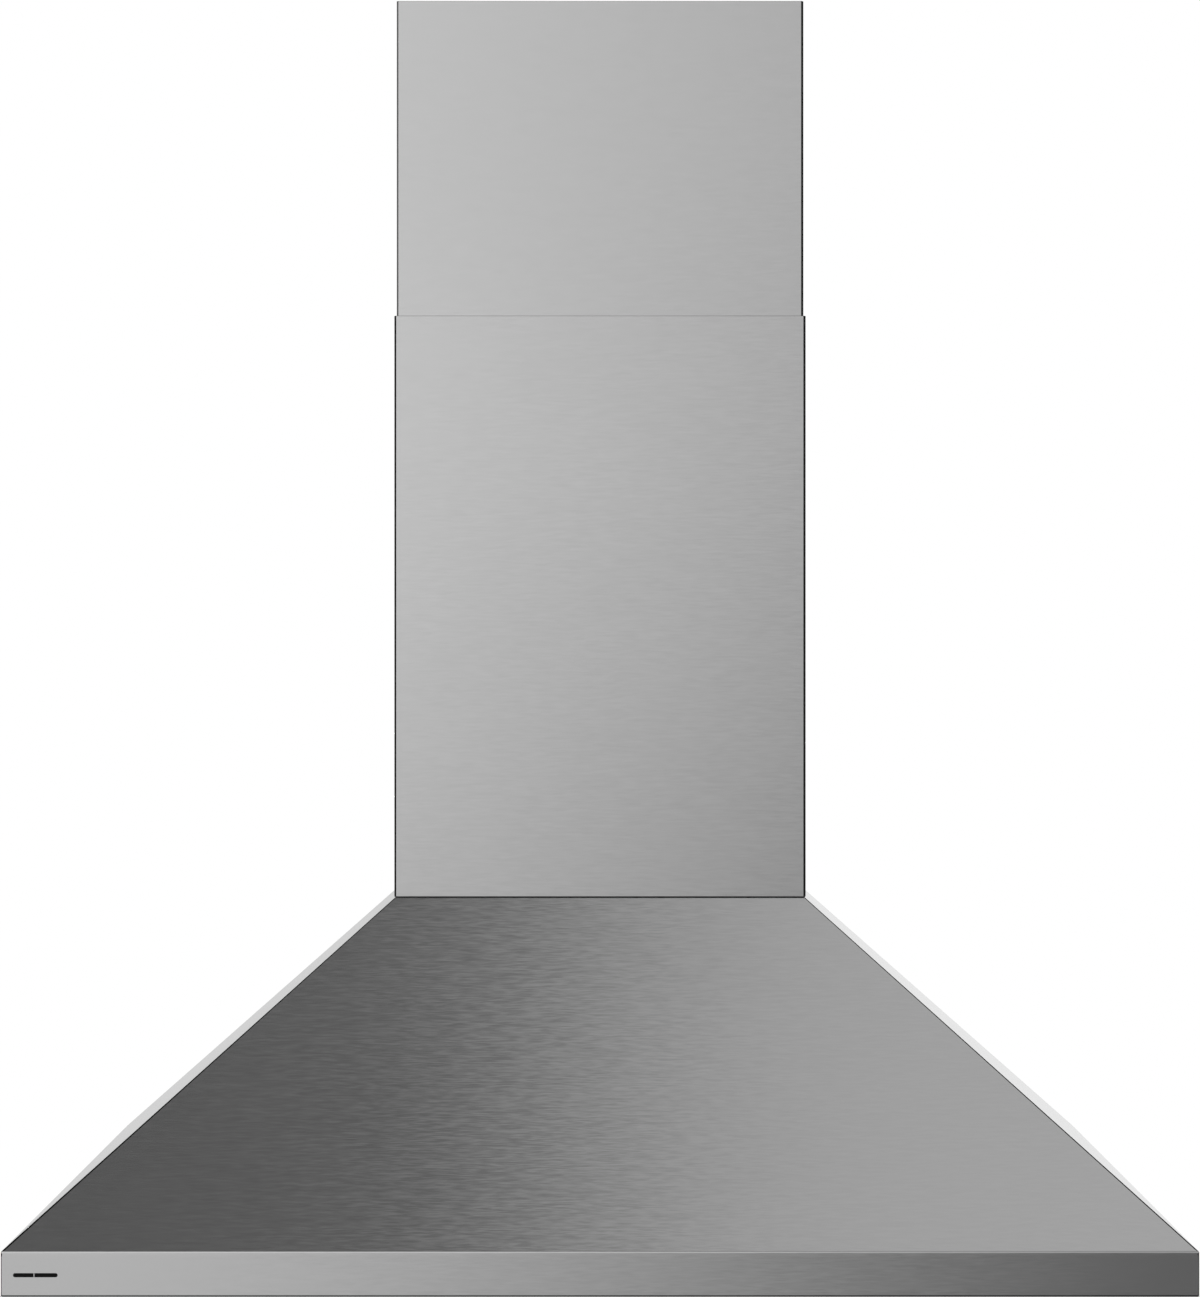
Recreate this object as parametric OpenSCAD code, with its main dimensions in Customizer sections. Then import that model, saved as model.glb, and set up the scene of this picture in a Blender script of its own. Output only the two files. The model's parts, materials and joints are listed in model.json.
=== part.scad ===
// Wall mount range hood: a hipped canopy over a steel rim, under a chimney of two covers.
// The upper cover slides inside the lower one.
// Millimetres. X runs along the width, -Y to the front and +Z up.
// The wall is the plane y = 0 and the rim's lower edge is z = 0, with the origin in the middle at the wall.

/* [Canopy] */
// Width of the canopy at its rim
hood_w = 900; // [880:10:1200]
// Depth of the canopy from the wall to the front of the rim
hood_d = 500; // [480:5:600]
// Height of the upright rim
rim_h = 34; // [32:1:60]
// Height of the sloping part above the rim
canopy_h = 247; // [235:1:300]
// Thickness of the canopy and chimney sheet
sheet = 1; // [0.8:0.1:1.4]
// Width of the lip folded inwards along the rim's lower edge
lip_w = 12; // [8:1:20]
// Width of the flange folded inwards around the canopy's top
neck_flange_w = 12; // [8:1:20]
// Distance of the wall holes from the middle
wall_hole_x = 150; // [100:5:180]
// Height of the lower wall holes
wall_hole_low_z = 60; // [50:1:100]
// Height of the upper wall holes
wall_hole_high_z = 235; // [180:1:240]
// Diameter of the wall holes
wall_hole_dia = 7; // [5:0.5:9]

/* [Chimney] */
// Width of the lower chimney cover
cover_w = 342; // [330:1:380]
// Depth of the lower chimney cover
cover_d = 300; // [290:1:340]
// Height of the lower chimney cover
cover_h = 483; // [400:1:600]
// Length of the upper chimney cover
upper_h = 480; // [400:1:500]
// Length of the upper cover that shows above the lower one
upper_show = 262; // [200:1:300]
// Gap between the two covers, on each side
slide_gap = 0.75; // [0.5:0.05:1.5]
// Outer radius of the covers' upright folds
fold_r = 2; // [1.6:0.1:4]
// Width of the covers' flanges along the wall
return_w = 15; // [10:1:25]
// Height of the upper cover's wall bracket
bracket_h = 30; // [20:1:40]
// Width of the wall bracket between its two steps
bracket_w = 290; // [260:1:296]
// Spacing of the bracket's two wall holes
bracket_hole_spacing = 200; // [120:5:240]

/* [Underside] */
// Depth of the recess under the liner
recess = 9; // [8:0.5:10]
// Distance from the rim's side to the filter opening
side_strip = 45; // [40:1:60]
// Distance from the front of the rim to the filter opening
front_strip = 115; // [112:1:125]
// Distance from the wall to the filter opening
rear_strip = 55; // [40:1:70]
// Distance of each lamp from the middle
lamp_x = 300; // [290:5:330]
// Radius of the lamp's hole in the liner
lamp_hole_r = 30; // [28:0.5:32]
// Distance between neighbouring push buttons
button_pitch = 30; // [26:1:32]
// Width of a push button
button_w = 14; // [10:1:18]
// Depth of a push button
button_d = 8; // [6:1:10]
// Travel of a push button
button_travel = 1.5; // [1:0.1:2]

/* [Filters] */
// Thickness of a filter
filter_h = 12; // [11:0.5:14]
// Sheet of the filter's frame and baffles
filter_sheet = 0.8; // [0.6:0.1:1]
// Gap beside each filter
filter_gap = 1.5; // [1.4:0.1:2]
// Width of the filter frame's visible border
border_w = 12; // [8:1:16]
// Distance between neighbouring baffles of one row
baffle_pitch = 30; // [28:1:34]
// Width of a baffle
baffle_w = 22; // [20:1:26]
// Height of a baffle's legs
baffle_leg = 4.2; // [3:0.1:4.4]
// Depth of the pocket that holds the latch
pocket_d = 30; // [28:1:40]
// Travel of the latch
latch_travel = 7; // [5:0.5:9]

/* [Blower] */
// Outer radius of the impeller
impeller_r = 85; // [80:1:88]
// Length of the impeller
impeller_w = 133; // [110:1:133]
// Number of blades
blades = 30; // [20:1:36]
// Radius of the motor
motor_r = 45; // [35:1:48]
// Length of the motor
motor_w = 76; // [60:1:76]
// Radius of the motor's shaft
shaft_r = 4; // [3:0.5:6]
// Outer radius of the outlet collar
collar_r = 75; // [70:1:75]
// Wall of the outlet collar
collar_t = 1.5; // [1.2:0.1:2]
// Length of the outlet collar above its flange
collar_h = 70; // [60:1:90]

/* [Window strip] */
// Distance from the rim's left end to the first window
window_x = 9.5; // [6:0.5:30]
// Length of the first window
window_left_w = 15; // [8:0.5:20]
// Length of the second window
window_right_w = 17; // [8:0.5:20]
// Distance between the two windows
window_gap = 1.1; // [1:0.1:4]
// Height of the windows
window_h = 2.6; // [2:0.1:4]
// Height of the windows' middle above the rim's lower edge
window_z = 16.6; // [16:0.1:20]

/* [Hidden] */
$fn = 48;
over = 1;            // how far a cut runs past a face

// Clearances
seat_gap = 0.2;      // cover over the canopy's neck
fit_gap = 0.3;       // pieces that slip into each other
run_gap = 0.05;      // shaft in a bore, pin in a knuckle
screw_gap = 0.1;     // screw in its hole

// Canopy
half_w = hood_w / 2;
neck_w = cover_w - 2 * (sheet + seat_gap);
neck_d = cover_d - sheet - seat_gap;
half_neck = neck_w / 2;
top_z = rim_h + canopy_h;
side_run = half_w - half_neck;
front_run = hood_d - neck_d;
side_k = sqrt(side_run * side_run + canopy_h * canopy_h) / canopy_h;
front_k = sqrt(front_run * front_run + canopy_h * canopy_h) / canopy_h;
mitre = (neck_flange_w + 1) / front_run;
window_back_t = 1.5;
window_margin = 2;
window_back_h = 8;
window_housing_d = 12;

// Underside
liner_top = recess + sheet;
open_half = half_w - side_strip;
open_front = -(hood_d - front_strip);
open_back = -rear_strip;
strip_y = -hood_d + (front_strip + sheet) / 2;
bezel_t = 2;
bezel_chamfer = 1;
lamp_flange = 4;
lamp_sleeve = 1.2;
lamp_sleeve_h = 6;
lamp_body_h = 24;
lamp_fin_lap = 3;
lamp_fin_r = lamp_hole_r + lamp_fin_lap;
lamp_core_set = 6;
lens_t = 1.5;
lens_set = 0.5;
lens_r = lamp_hole_r - lamp_sleeve - 2 * fit_gap;
fin_t = 2.5;
fin_pitch = 5;
fin_count = 4;
fascia_t = 2;
fascia_margin = 18;
fascia_d = 26;
fascia_lap_x = 5;
fascia_lap_y = 4;
button_count = 5;
button_play = 0.5;
button_drop = 4;
button_flange = 1.2;
button_lap = 2;
button_stem = 4;
control_half = (button_count - 1) / 2 * button_pitch + fascia_margin;
box_wall = 1.5;
box_d = 32;
box_h = 24;
board_t = 1.6;
board_lift = 8;
switch_size = 6;
switch_h = 3.5;
lead_end = 4;
control_lead_in = 12;

// Filters
filter_w = (2 * open_half - 4 * filter_gap) / 3;
filter_front = open_front + filter_gap;
filter_back = open_back - filter_gap;
filter_top = recess + filter_h;
filter_step = filter_w + filter_gap;
hook_w = 25;
hook_t = 1.2;
hook_reach = 8;
hook_inset = 30;
latch_w = 48;
latch_t = 1.5;
latch_d = pocket_d - 2 * filter_sheet - latch_travel - 2 * fit_gap;
latch_lift = 0.1;
latch_z = max(liner_top, recess + filter_sheet) + latch_lift;
nose_w = 20;
nose_reach = 1.2;
tab_w = 28;
tab_inset = 8;
tab_drop = 5.5;
tab_curl_r = 1.5;
slot_play = 1;

// Blower
frame_t = 1.5;
frame_upstand = 22;
frame_half = cover_w / 2 - sheet - fit_gap;
frame_front = -(cover_d - sheet - fit_gap);
frame_back = -(sheet + fit_gap);
frame_top = top_z + frame_t;
spiral_step = 12;
spiral_c = spiral_step / 2;
spiral_gap = 12;
spiral_r = impeller_r + spiral_gap;
scroll_sheet = 1.2;
scroll_play = 7.5;
scroll_half = impeller_w / 2 + scroll_play;
plate_half = scroll_half + scroll_sheet;
outlet_lift = 17.5;
fan_drop = 20.5;
outlet_right = spiral_c + spiral_r + 2 * spiral_step;
fan_z = frame_top - spiral_r - fan_drop;
outlet_z = frame_top + outlet_lift;
collar_y = -cover_d / 2;
fan_y = collar_y - (outlet_right - spiral_c) / 2;
outlet_front = fan_y - spiral_c;
outlet_back = fan_y + outlet_right;
outlet_play = 2;
bell_r = 6;
eye_lap = 17;
eye_r = impeller_r - eye_lap;
blade_pivot = 8;
blade_in = 9;
blade_out = 7;
blade_t = 1;
blade_tilt = 35;
ring_w = 3;
ring_depth = 4;
disc_t = 1.5;
hub_r = 12;
hub_front = -20;
hub_back = 5;
motor_face = -22;
motor_back = motor_face - motor_w;
motor_step = 3;
motor_step_w = 6;
motor_boss_r = 12;
shaft_in = 38;
mount_t = 4;
mount_arm_w = 12;
mount_ring_t = 4;
mount_ring_w = 12;
mount_reach = 12;
mount_arms = 3;
mount_turn = 30;
hanger_out = 20;
hanger_x = plate_half + hanger_out;
hanger_d = 45;
hanger_t = 2;
hanger_end = 15;
hanger_edge = 3;
hanger_leg = 30;
rubber_r = 8;
rubber_h = 8;
rubber_waist = 1.5;
hang_screw_r = 2.5;
hang_head_r = 4.5;
hang_head_t = 3;
nut_r = 4.6;
nut_t = 4;
nut_tail = 2;

// Outlet collar and damper
flange_w = 8;
flange_t = 2;
bore_r = collar_r - collar_t;
pin_r = 1.5;
pin_lift = 16;
pin_set = 0.5;
pin_z = outlet_z + flange_t + pin_lift;
knuckle_r = 3.2;
knuckle_w = 20;
front_knuckle_x = 40;
back_knuckle_x = 15;
flap_t = 0.8;
flap_play = 0.9;
flap_r = bore_r - flap_play;
flap_gap = 3.6;
stop_lap = 0.6;
stop_r = flap_r - stop_lap;
stop_h = 1.8;

// Chimney
upper_half = cover_w / 2 - sheet - slide_gap;
upper_front = -(cover_d - sheet - slide_gap);
upper_back = -(sheet + slide_gap);
cover_top = top_z + cover_h;
upper_top = cover_top + upper_show;
upper_bottom = upper_top - upper_h;
bracket_t = 1.5;
bracket_step = 5;
bracket_ear = 40;
bracket_drop = 3;
bracket_z = upper_top - bracket_h - bracket_drop;
bracket_screw_y = -25;
bracket_screw_z = bracket_z + bracket_h / 2;
screw_r = 2;
screw_head_r = 4;
screw_head_t = 2;
screw_l = 6;
cover_screw_lift = 12;
cover_screw_z = top_z + cover_screw_lift;
cover_screw_y = [-40, -180];

// Electrics on the top frame
junction_x = -134;
junction_w = 60;
junction_d = 84;
junction_h = 38;
junction_wall = 2;
gland_r = 10;
gland_bore_r = 4.2;
gland_neck_r = 7.9;
gland_neck_h = 8;
gland_h = 16;
gland_nut_r = 11.5;
gland_nut_h = 5;
gland_locknut_h = 4;
gland_set = 24;
gland_y = fan_y - gland_set;
terminal_w = 24;
terminal_front = 10;
terminal_d = 26;
terminal_h = 16;
terminal_pitch = 6;
terminal_count = 4;
terminal_rib = [18, 4, 2];
motor_lead_r = 3;
motor_lead_lift = 25;
lead_r = 2;
grommet_t = 1.5;
grommet_lip = 2.25;
grommet_r = motor_lead_r + 2 * grommet_t;
capacitor_r = 15;
capacitor_l = 60;
capacitor_lift = 1;
capacitor_end = 4;
clip_w = 12;
clip_foot = 10;
capacitor_x = 125;
capacitor_y = -200;
control_hole_y = -30;
control_lead_rise = 20;
driver_x = 130;
driver_w = 110;
driver_d = 40;
driver_h = 22;
driver_ear = 8;
driver_ear_t = 2;

// Shared shapes

module box(low, high) translate(low) cube(high - low);

module along_x(from, to) translate([from, 0, 0]) rotate([90, 0, 90]) linear_extrude(to - from) children();

module along_y(from, to) translate([0, to, 0]) rotate([90, 0, 0]) linear_extrude(to - from) children();

module rod_x(from, to, r) translate([from, 0, 0]) rotate([0, 90, 0]) cylinder(h = to - from, r = r);

module rod_y(from, to, r) translate([0, to, 0]) rotate([90, 0, 0]) cylinder(h = to - from, r = r);

module both_sides() {
    children();
    mirror([1, 0, 0]) children();
}

module rounded(w, d, r) {
    square([w - 2 * r, d], center = true);
    square([w, d - 2 * r], center = true);
    for (x = [-1, 1], y = [-1, 1]) translate([x * (w / 2 - r), y * (d / 2 - r)]) circle(r);
}

// A round lead through the points, with a ball at each turn
module lead(points, r) {
    for (i = [1 : len(points) - 1]) {
        step = points[i] - points[i - 1];
        run = norm(step);
        translate(points[i - 1])
            rotate([0, acos(step[2] / run), atan2(step[1], step[0])])
            cylinder(h = run, r = r);
        if (i < len(points) - 1) translate(points[i]) sphere(r);
    }
}

// Canopy

function side_fold_z(t) = rim_h - t * (side_k - 1) * canopy_h / side_run;
function front_fold_z(t) = rim_h - t * (front_k - 1) * canopy_h / front_run;

// Outline across the width, set in by t from the outer faces
module side_profile(t, low, high) {
    foot = half_w - t;
    neck = half_neck - side_k * t;
    cap = high > top_z ? [[neck, high], [-neck, high]] : [];
    polygon(concat(
        [[-foot, low], [foot, low], [foot, side_fold_z(t)], [neck, top_z]],
        cap,
        [[-neck, top_z], [-foot, side_fold_z(t)]]
    ));
}

// Outline along the depth, set in by t from the outer faces
module front_profile(t, low, high, back) {
    foot = -(hood_d - t);
    neck = -(neck_d - front_k * t);
    cap = high > top_z ? [[neck, high]] : [];
    polygon(concat(
        [[back, low], [foot, low], [foot, front_fold_z(t)], [neck, top_z]],
        cap,
        [[back, high]]
    ));
}

module canopy_form(t, low, high, back) intersection() {
    along_y(-hood_d, back) side_profile(t, low, high);
    along_x(-half_w, half_w) front_profile(t, low, high, back);
}

module canopy_skin() difference() {
    canopy_form(0, 0, top_z, 0);
    canopy_form(sheet, -over, top_z + over, over);
}

module canopy_folds() {
    difference() {
        intersection() {
            canopy_form(0, 0, top_z, 0);
            union() {
                box([-half_w, -hood_d, 0], [half_w, -sheet, sheet]);
                box([-half_neck, -neck_d, top_z - sheet], [half_neck, -sheet, top_z]);
            }
        }
        box([-(half_w - lip_w), -(hood_d - lip_w), -over], [half_w - lip_w, over, rim_h]);
        box([-(half_neck - neck_flange_w), -(neck_d - neck_flange_w), rim_h],
            [half_neck - neck_flange_w, over, top_z + over]);
    }
}

module front_region() linear_extrude(top_z + 2 * over) polygon([
    [-half_w, -hood_d],
    [half_w, -hood_d],
    [half_neck - side_run * mitre, -neck_d + front_run * mitre],
    [-half_neck + side_run * mitre, -neck_d + front_run * mitre]
]);

module side_region() linear_extrude(top_z + 2 * over) polygon([
    [half_w, -hood_d],
    [half_w, 0],
    [half_neck - side_run * mitre, 0],
    [half_neck - side_run * mitre, -neck_d + front_run * mitre]
]);

module window_shape() {
    left = -half_w + window_x;
    right = left + window_left_w + window_gap;
    r = window_h / 2;
    translate([left + r, window_z]) circle(r);
    translate([left + r, window_z - r]) square([window_left_w - r, window_h]);
    translate([right, window_z - r]) square([window_right_w - r, window_h]);
    translate([right + window_right_w - r, window_z]) circle(r);
}

// A plate behind the windows, between two depths
module window_plate(front, back) {
    left = -half_w + window_x;
    right = left + window_left_w + window_gap + window_right_w;
    box([left - window_margin, front, window_z - window_back_h / 2],
        [right + window_margin, back, window_z + window_back_h / 2]);
}

module canopy_front_panel() color("silver") difference() {
    intersection() {
        union() {
            canopy_skin();
            canopy_folds();
        }
        translate([0, 0, -over]) front_region();
    }
    along_y(-hood_d - over, -hood_d + sheet + over) window_shape();
}

module canopy_side_panel() intersection() {
    union() {
        canopy_skin();
        canopy_folds();
    }
    translate([0, 0, -over]) side_region();
}

module canopy_right_panel() color("gainsboro") canopy_side_panel();

module canopy_left_panel() color("gainsboro") mirror([1, 0, 0]) canopy_side_panel();

module canopy_back_panel() color("silver") difference() {
    union() {
        along_y(-sheet, 0) side_profile(sheet, 0, top_z);
        box([-(half_w - lip_w), -lip_w, 0], [half_w - lip_w, 0, sheet]);
        box([-(half_neck - neck_flange_w), -neck_flange_w, top_z - sheet],
            [half_neck - neck_flange_w, 0, top_z]);
    }
    for (x = [-wall_hole_x, wall_hole_x], z = [wall_hole_low_z, wall_hole_high_z])
        translate([x, 0, z]) rod_y(-sheet - over, over, wall_hole_dia / 2);
}

module window_strip() color("black") {
    along_y(-hood_d, -hood_d + sheet) window_shape();
    window_plate(-hood_d + sheet, -hood_d + sheet + window_back_t);
}

module window_housing() color("dimgray") {
    front = -hood_d + sheet + window_back_t;
    window_plate(front, front + window_housing_d);
}

// Underside

module underside_liner() color("gainsboro") difference() {
    box([-(half_w - sheet), -(hood_d - sheet), sheet], [half_w - sheet, -sheet, liner_top]);
    box([-(half_w - 2 * sheet), -(hood_d - 2 * sheet), 0], [half_w - 2 * sheet, -2 * sheet, recess]);
    box([-open_half, open_front, 0], [open_half, open_back, liner_top + over]);
    for (x = [-lamp_x, lamp_x]) translate([x, strip_y, 0]) cylinder(h = liner_top + over, r = lamp_hole_r);
    box([-(control_half - fascia_lap_x), strip_y - fascia_d / 2 + fascia_lap_y, 0],
        [control_half - fascia_lap_x, strip_y + fascia_d / 2 - fascia_lap_y, liner_top + over]);
}

module at_lamps() {
    translate([lamp_x, strip_y, recess]) children();
    translate([-lamp_x, strip_y, recess]) children();
}

module lamp_bezel() {
    sleeve = lamp_hole_r - fit_gap;
    rotate_extrude() polygon([
        [sleeve - lamp_flange, -bezel_t],
        [sleeve + lamp_flange - bezel_chamfer, -bezel_t],
        [sleeve + lamp_flange, -bezel_t + bezel_chamfer],
        [sleeve + lamp_flange, 0],
        [sleeve, 0],
        [sleeve, lamp_sleeve_h],
        [sleeve - lamp_sleeve, lamp_sleeve_h],
        [sleeve - lamp_sleeve, 0],
        [sleeve - lamp_flange, 0]
    ]);
}

module lamp_bezels() color("silver") at_lamps() lamp_bezel();

module lamp_lens() {
    cylinder(h = lens_t, r = lens_r);
    translate([0, 0, -bezel_t + lens_set]) cylinder(h = bezel_t, r = lamp_hole_r - 2 * fit_gap - lamp_flange);
}

module lamp_lenses() color("white") at_lamps() lamp_lens();

module lamp_body() {
    translate([0, 0, lens_t]) cylinder(h = lamp_body_h - lens_t, r = lens_r - lamp_core_set);
    translate([0, 0, lens_t]) cylinder(h = lamp_sleeve_h - lens_t, r = lens_r);
    for (i = [0 : fin_count - 1])
        translate([0, 0, lamp_sleeve_h + i * fin_pitch]) cylinder(h = fin_t, r = lamp_fin_r);
}

module lamp_bodies() color("darkgray") at_lamps() lamp_body();

module at_buttons() for (i = [1 : button_count]) translate([button_x(i), 0, 0]) children();

function button_x(i) = (i - (button_count + 1) / 2) * button_pitch;

module control_fascia() color("dimgray") translate([0, strip_y, recess]) difference() {
    box([-control_half, -fascia_d / 2, -fascia_t], [control_half, fascia_d / 2, 0]);
    at_buttons() box([-button_w / 2 - button_play, -button_d / 2 - button_play, -fascia_t - over],
                     [button_w / 2 + button_play, button_d / 2 + button_play, over]);
}

module control_box() color("darkslategray") translate([0, strip_y, liner_top]) difference() {
    box([-control_half, -box_d / 2, 0], [control_half, box_d / 2, box_h]);
    box([-control_half + box_wall, -box_d / 2 + box_wall, -over],
        [control_half - box_wall, box_d / 2 - box_wall, box_h - box_wall]);
}

module control_board() color("darkgreen") translate([0, strip_y, recess + board_lift]) {
    box([-control_half + box_wall, -box_d / 2 + box_wall, 0],
        [control_half - box_wall, box_d / 2 - box_wall, board_t]);
    at_buttons() box([-switch_size / 2, -switch_size / 2, -switch_h], [switch_size / 2, switch_size / 2, 0]);
}

module push_button(i) color("black") translate([button_x(i), strip_y, recess]) {
    lap = [button_lap, button_lap, 0];
    box([-button_w / 2, -button_d / 2, -button_drop], [button_w / 2, button_d / 2, fit_gap]);
    box([-button_w / 2, -button_d / 2, fit_gap] - lap,
        [button_w / 2, button_d / 2, fit_gap + button_flange] + lap);
    box([-button_stem / 2, -button_stem / 2, fit_gap + button_flange],
        [button_stem / 2, button_stem / 2, board_lift - switch_h - button_travel - fit_gap]);
}

module button_1() push_button(1);

module button_2() push_button(2);

module button_3() push_button(3);

module button_4() push_button(4);

module button_5() push_button(5);

module lamp_driver() color("whitesmoke") translate([driver_x, strip_y - driver_d / 2, liner_top]) {
    cube([driver_w, driver_d, driver_h]);
    translate([-driver_ear, driver_ear, 0])
        cube([driver_w + 2 * driver_ear, driver_d - 2 * driver_ear, driver_ear_t]);
}

module lamp_leads() color("black") translate([0, strip_y, recess + lamp_sleeve_h + fin_pitch + fin_t / 2]) {
    rod_x(driver_x + driver_w, lamp_x - lamp_fin_r, lead_r);
    rod_x(control_half, driver_x, lead_r);
    rod_x(-lamp_x + lamp_fin_r, -control_half, lead_r);
}

// From the junction box down behind the front panel to the control box
module control_lead() color("black") {
    y = fan_y + control_hole_y;
    z = liner_top + box_h + control_lead_rise;
    lead([
        [junction_x, y, frame_top + junction_wall + lead_end],
        [junction_x, y, z],
        [junction_x, strip_y, z],
        [-control_half + control_lead_in, strip_y, z],
        [-control_half + control_lead_in, strip_y, liner_top + box_h]
    ], motor_lead_r);
}

// Filters

module filter_frame() difference() {
    union() {
        box([-filter_w / 2, filter_front, recess], [filter_w / 2, filter_back, filter_top]);
        both_sides()
            box([filter_w / 2 - hook_inset - hook_w, filter_back - filter_sheet, liner_top + fit_gap],
                [filter_w / 2 - hook_inset, open_back + hook_reach, liner_top + fit_gap + hook_t]);
    }
    box([-filter_w / 2 + filter_sheet, filter_front + pocket_d, recess + filter_sheet],
        [filter_w / 2 - filter_sheet, filter_back - filter_sheet, filter_top - filter_sheet]);
    box([-filter_w / 2 + border_w, filter_front + pocket_d + border_w / 2, recess - over],
        [filter_w / 2 - border_w, filter_back - border_w, filter_top + over]);
    box([-filter_w / 2 + filter_sheet, filter_front + filter_sheet, recess + filter_sheet],
        [filter_w / 2 - filter_sheet, filter_front + pocket_d - filter_sheet, filter_top - filter_sheet]);
    tab_back = filter_front + tab_inset + latch_t + latch_travel;
    box([-tab_w / 2 - slot_play, filter_front + tab_inset - slot_play, recess - over],
        [tab_w / 2 + slot_play, tab_back + slot_play, recess + filter_sheet + over]);
    box([-nose_w / 2 - fit_gap, filter_front - over, latch_z - fit_gap],
        [nose_w / 2 + fit_gap, filter_front + filter_sheet + over, latch_z + latch_t + fit_gap]);
}

module channel(w, leg, t, from, to) difference() {
    box([-w / 2, from, 0], [w / 2, to, leg]);
    box([-w / 2 + t, from - over, t], [w / 2 - t, to + over, leg + over]);
}

module filter_baffles() {
    from = filter_front + pocket_d;
    to = filter_back - filter_sheet;
    lower_count = floor((filter_w - 2 * filter_sheet - baffle_w) / baffle_pitch) + 1;
    upper_count = lower_count - 1;
    for (i = [0 : lower_count - 1])
        translate([(i - (lower_count - 1) / 2) * baffle_pitch, 0, recess + filter_sheet])
            channel(baffle_w, baffle_leg, filter_sheet, from, to);
    for (i = [0 : upper_count - 1])
        translate([(i - (upper_count - 1) / 2) * baffle_pitch, 0, filter_top - filter_sheet])
            mirror([0, 0, 1]) channel(baffle_w, baffle_leg, filter_sheet, from, to);
}

module filter_latch() {
    front = filter_front + filter_sheet + fit_gap;
    box([-latch_w / 2, front, latch_z], [latch_w / 2, front + latch_d, latch_z + latch_t]);
    box([-nose_w / 2, filter_front - nose_reach, latch_z],
        [nose_w / 2, front + latch_t, latch_z + latch_t]);
    box([-tab_w / 2, filter_front + tab_inset, recess - tab_drop],
        [tab_w / 2, filter_front + tab_inset + latch_t, latch_z + latch_t]);
    translate([0, filter_front + tab_inset + latch_t / 2, recess - tab_drop])
        rod_x(-tab_w / 2, tab_w / 2, tab_curl_r);
}

module filter_left_frame() color("silver") translate([-filter_step, 0, 0]) filter_frame();

module filter_left_baffles() color("lightgray") translate([-filter_step, 0, 0]) filter_baffles();

module filter_left_latch() color("dimgray") translate([-filter_step, 0, 0]) filter_latch();

module filter_centre_frame() color("silver") filter_frame();

module filter_centre_baffles() color("lightgray") filter_baffles();

module filter_centre_latch() color("dimgray") filter_latch();

module filter_right_frame() color("silver") translate([filter_step, 0, 0]) filter_frame();

module filter_right_baffles() color("lightgray") translate([filter_step, 0, 0]) filter_baffles();

module filter_right_latch() color("dimgray") translate([filter_step, 0, 0]) filter_latch();

// Chimney

// A cover's section: a folded channel with its open side to the wall
module cover_section(half, front, back) {
    w = 2 * half;
    d = back - front;
    translate([0, (front + back) / 2]) difference() {
        rounded(w, d, fold_r);
        rounded(w - 2 * sheet, d - 2 * sheet, fold_r - sheet);
        translate([0, d / 2]) square([w - 2 * return_w, 2 * (sheet + over)], center = true);
    }
}

module lower_chimney_cover() color("silver") difference() {
    translate([0, 0, top_z]) linear_extrude(cover_h) cover_section(cover_w / 2, -cover_d, 0);
    for (y = cover_screw_y) translate([0, y, cover_screw_z]) rod_x(-cover_w, cover_w, screw_r + screw_gap);
}

module side_screw(x, y, z) translate([x, y, z]) {
    rod_x(-screw_l, 0, screw_r);
    rod_x(0, screw_head_t, screw_head_r);
}

module cover_screws() color("dimgray") both_sides()
    for (y = cover_screw_y) side_screw(cover_w / 2, y, cover_screw_z);

module upper_chimney_cover() color("lightgray") difference() {
    translate([0, 0, upper_bottom]) linear_extrude(upper_h)
        cover_section(upper_half, upper_front, upper_back);
    translate([0, bracket_screw_y, bracket_screw_z]) rod_x(-cover_w, cover_w, screw_r + screw_gap);
}

module upper_wall_bracket() color("darkgray") difference() {
    ear = upper_half - sheet - run_gap;
    step = bracket_w / 2 - bracket_t;
    translate([0, 0, bracket_z]) linear_extrude(bracket_h) {
        translate([-bracket_w / 2, -bracket_t]) square([bracket_w, bracket_t]);
        both_sides() {
            translate([step, -bracket_step]) square([bracket_t, bracket_step]);
            translate([step, -bracket_step]) square([ear - step, bracket_t]);
            translate([ear - bracket_t, -bracket_ear])
                square([bracket_t, bracket_ear - bracket_step + bracket_t]);
        }
    }
    for (x = [-1, 1])
        translate([x * bracket_hole_spacing / 2, 0, bracket_screw_z])
            rod_y(-bracket_t - over, over, wall_hole_dia / 2);
    translate([0, bracket_screw_y, bracket_screw_z]) rod_x(-cover_w, cover_w, screw_r + screw_gap);
}

module upper_screws() color("dimgray") both_sides() side_screw(upper_half, bracket_screw_y, bracket_screw_z);

// Top frame

module top_frame() color("lightgray") difference() {
    box([-frame_half, frame_front, top_z], [frame_half, frame_back, top_z + frame_upstand]);
    box([-frame_half + frame_t, frame_front + frame_t, frame_top],
        [frame_half - frame_t, 0, top_z + frame_upstand + over]);
    box([-plate_half - outlet_play, outlet_front - outlet_play, top_z - over],
        [plate_half + outlet_play, outlet_back + outlet_play, frame_top + over]);
    for (y = cover_screw_y) translate([0, y, cover_screw_z]) rod_x(-cover_w, cover_w, screw_r + screw_gap);
    at_hangers() translate([0, 0, top_z - over])
        cylinder(h = frame_t + 2 * over, r = hang_screw_r + screw_gap);
    at_grommets() translate([0, 0, top_z - over]) cylinder(h = frame_t + 2 * over, r = grommet_r);
}

module at_hangers() both_sides() for (y = [-hanger_d, hanger_d])
    translate([hanger_x, collar_y + y, 0]) children();

module at_grommets() {
    translate([junction_x, fan_y, 0]) children();
    translate([junction_x, fan_y + control_hole_y, 0]) children();
}

module lead_grommets() color("black") at_grommets() translate([0, 0, top_z]) rotate_extrude() polygon([
    [motor_lead_r + fit_gap / 2, -grommet_t],
    [grommet_r + grommet_lip, -grommet_t],
    [grommet_r + grommet_lip, 0],
    [grommet_r, 0],
    [grommet_r, frame_t],
    [motor_lead_r + fit_gap / 2, frame_t]
]);

// Blower

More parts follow.
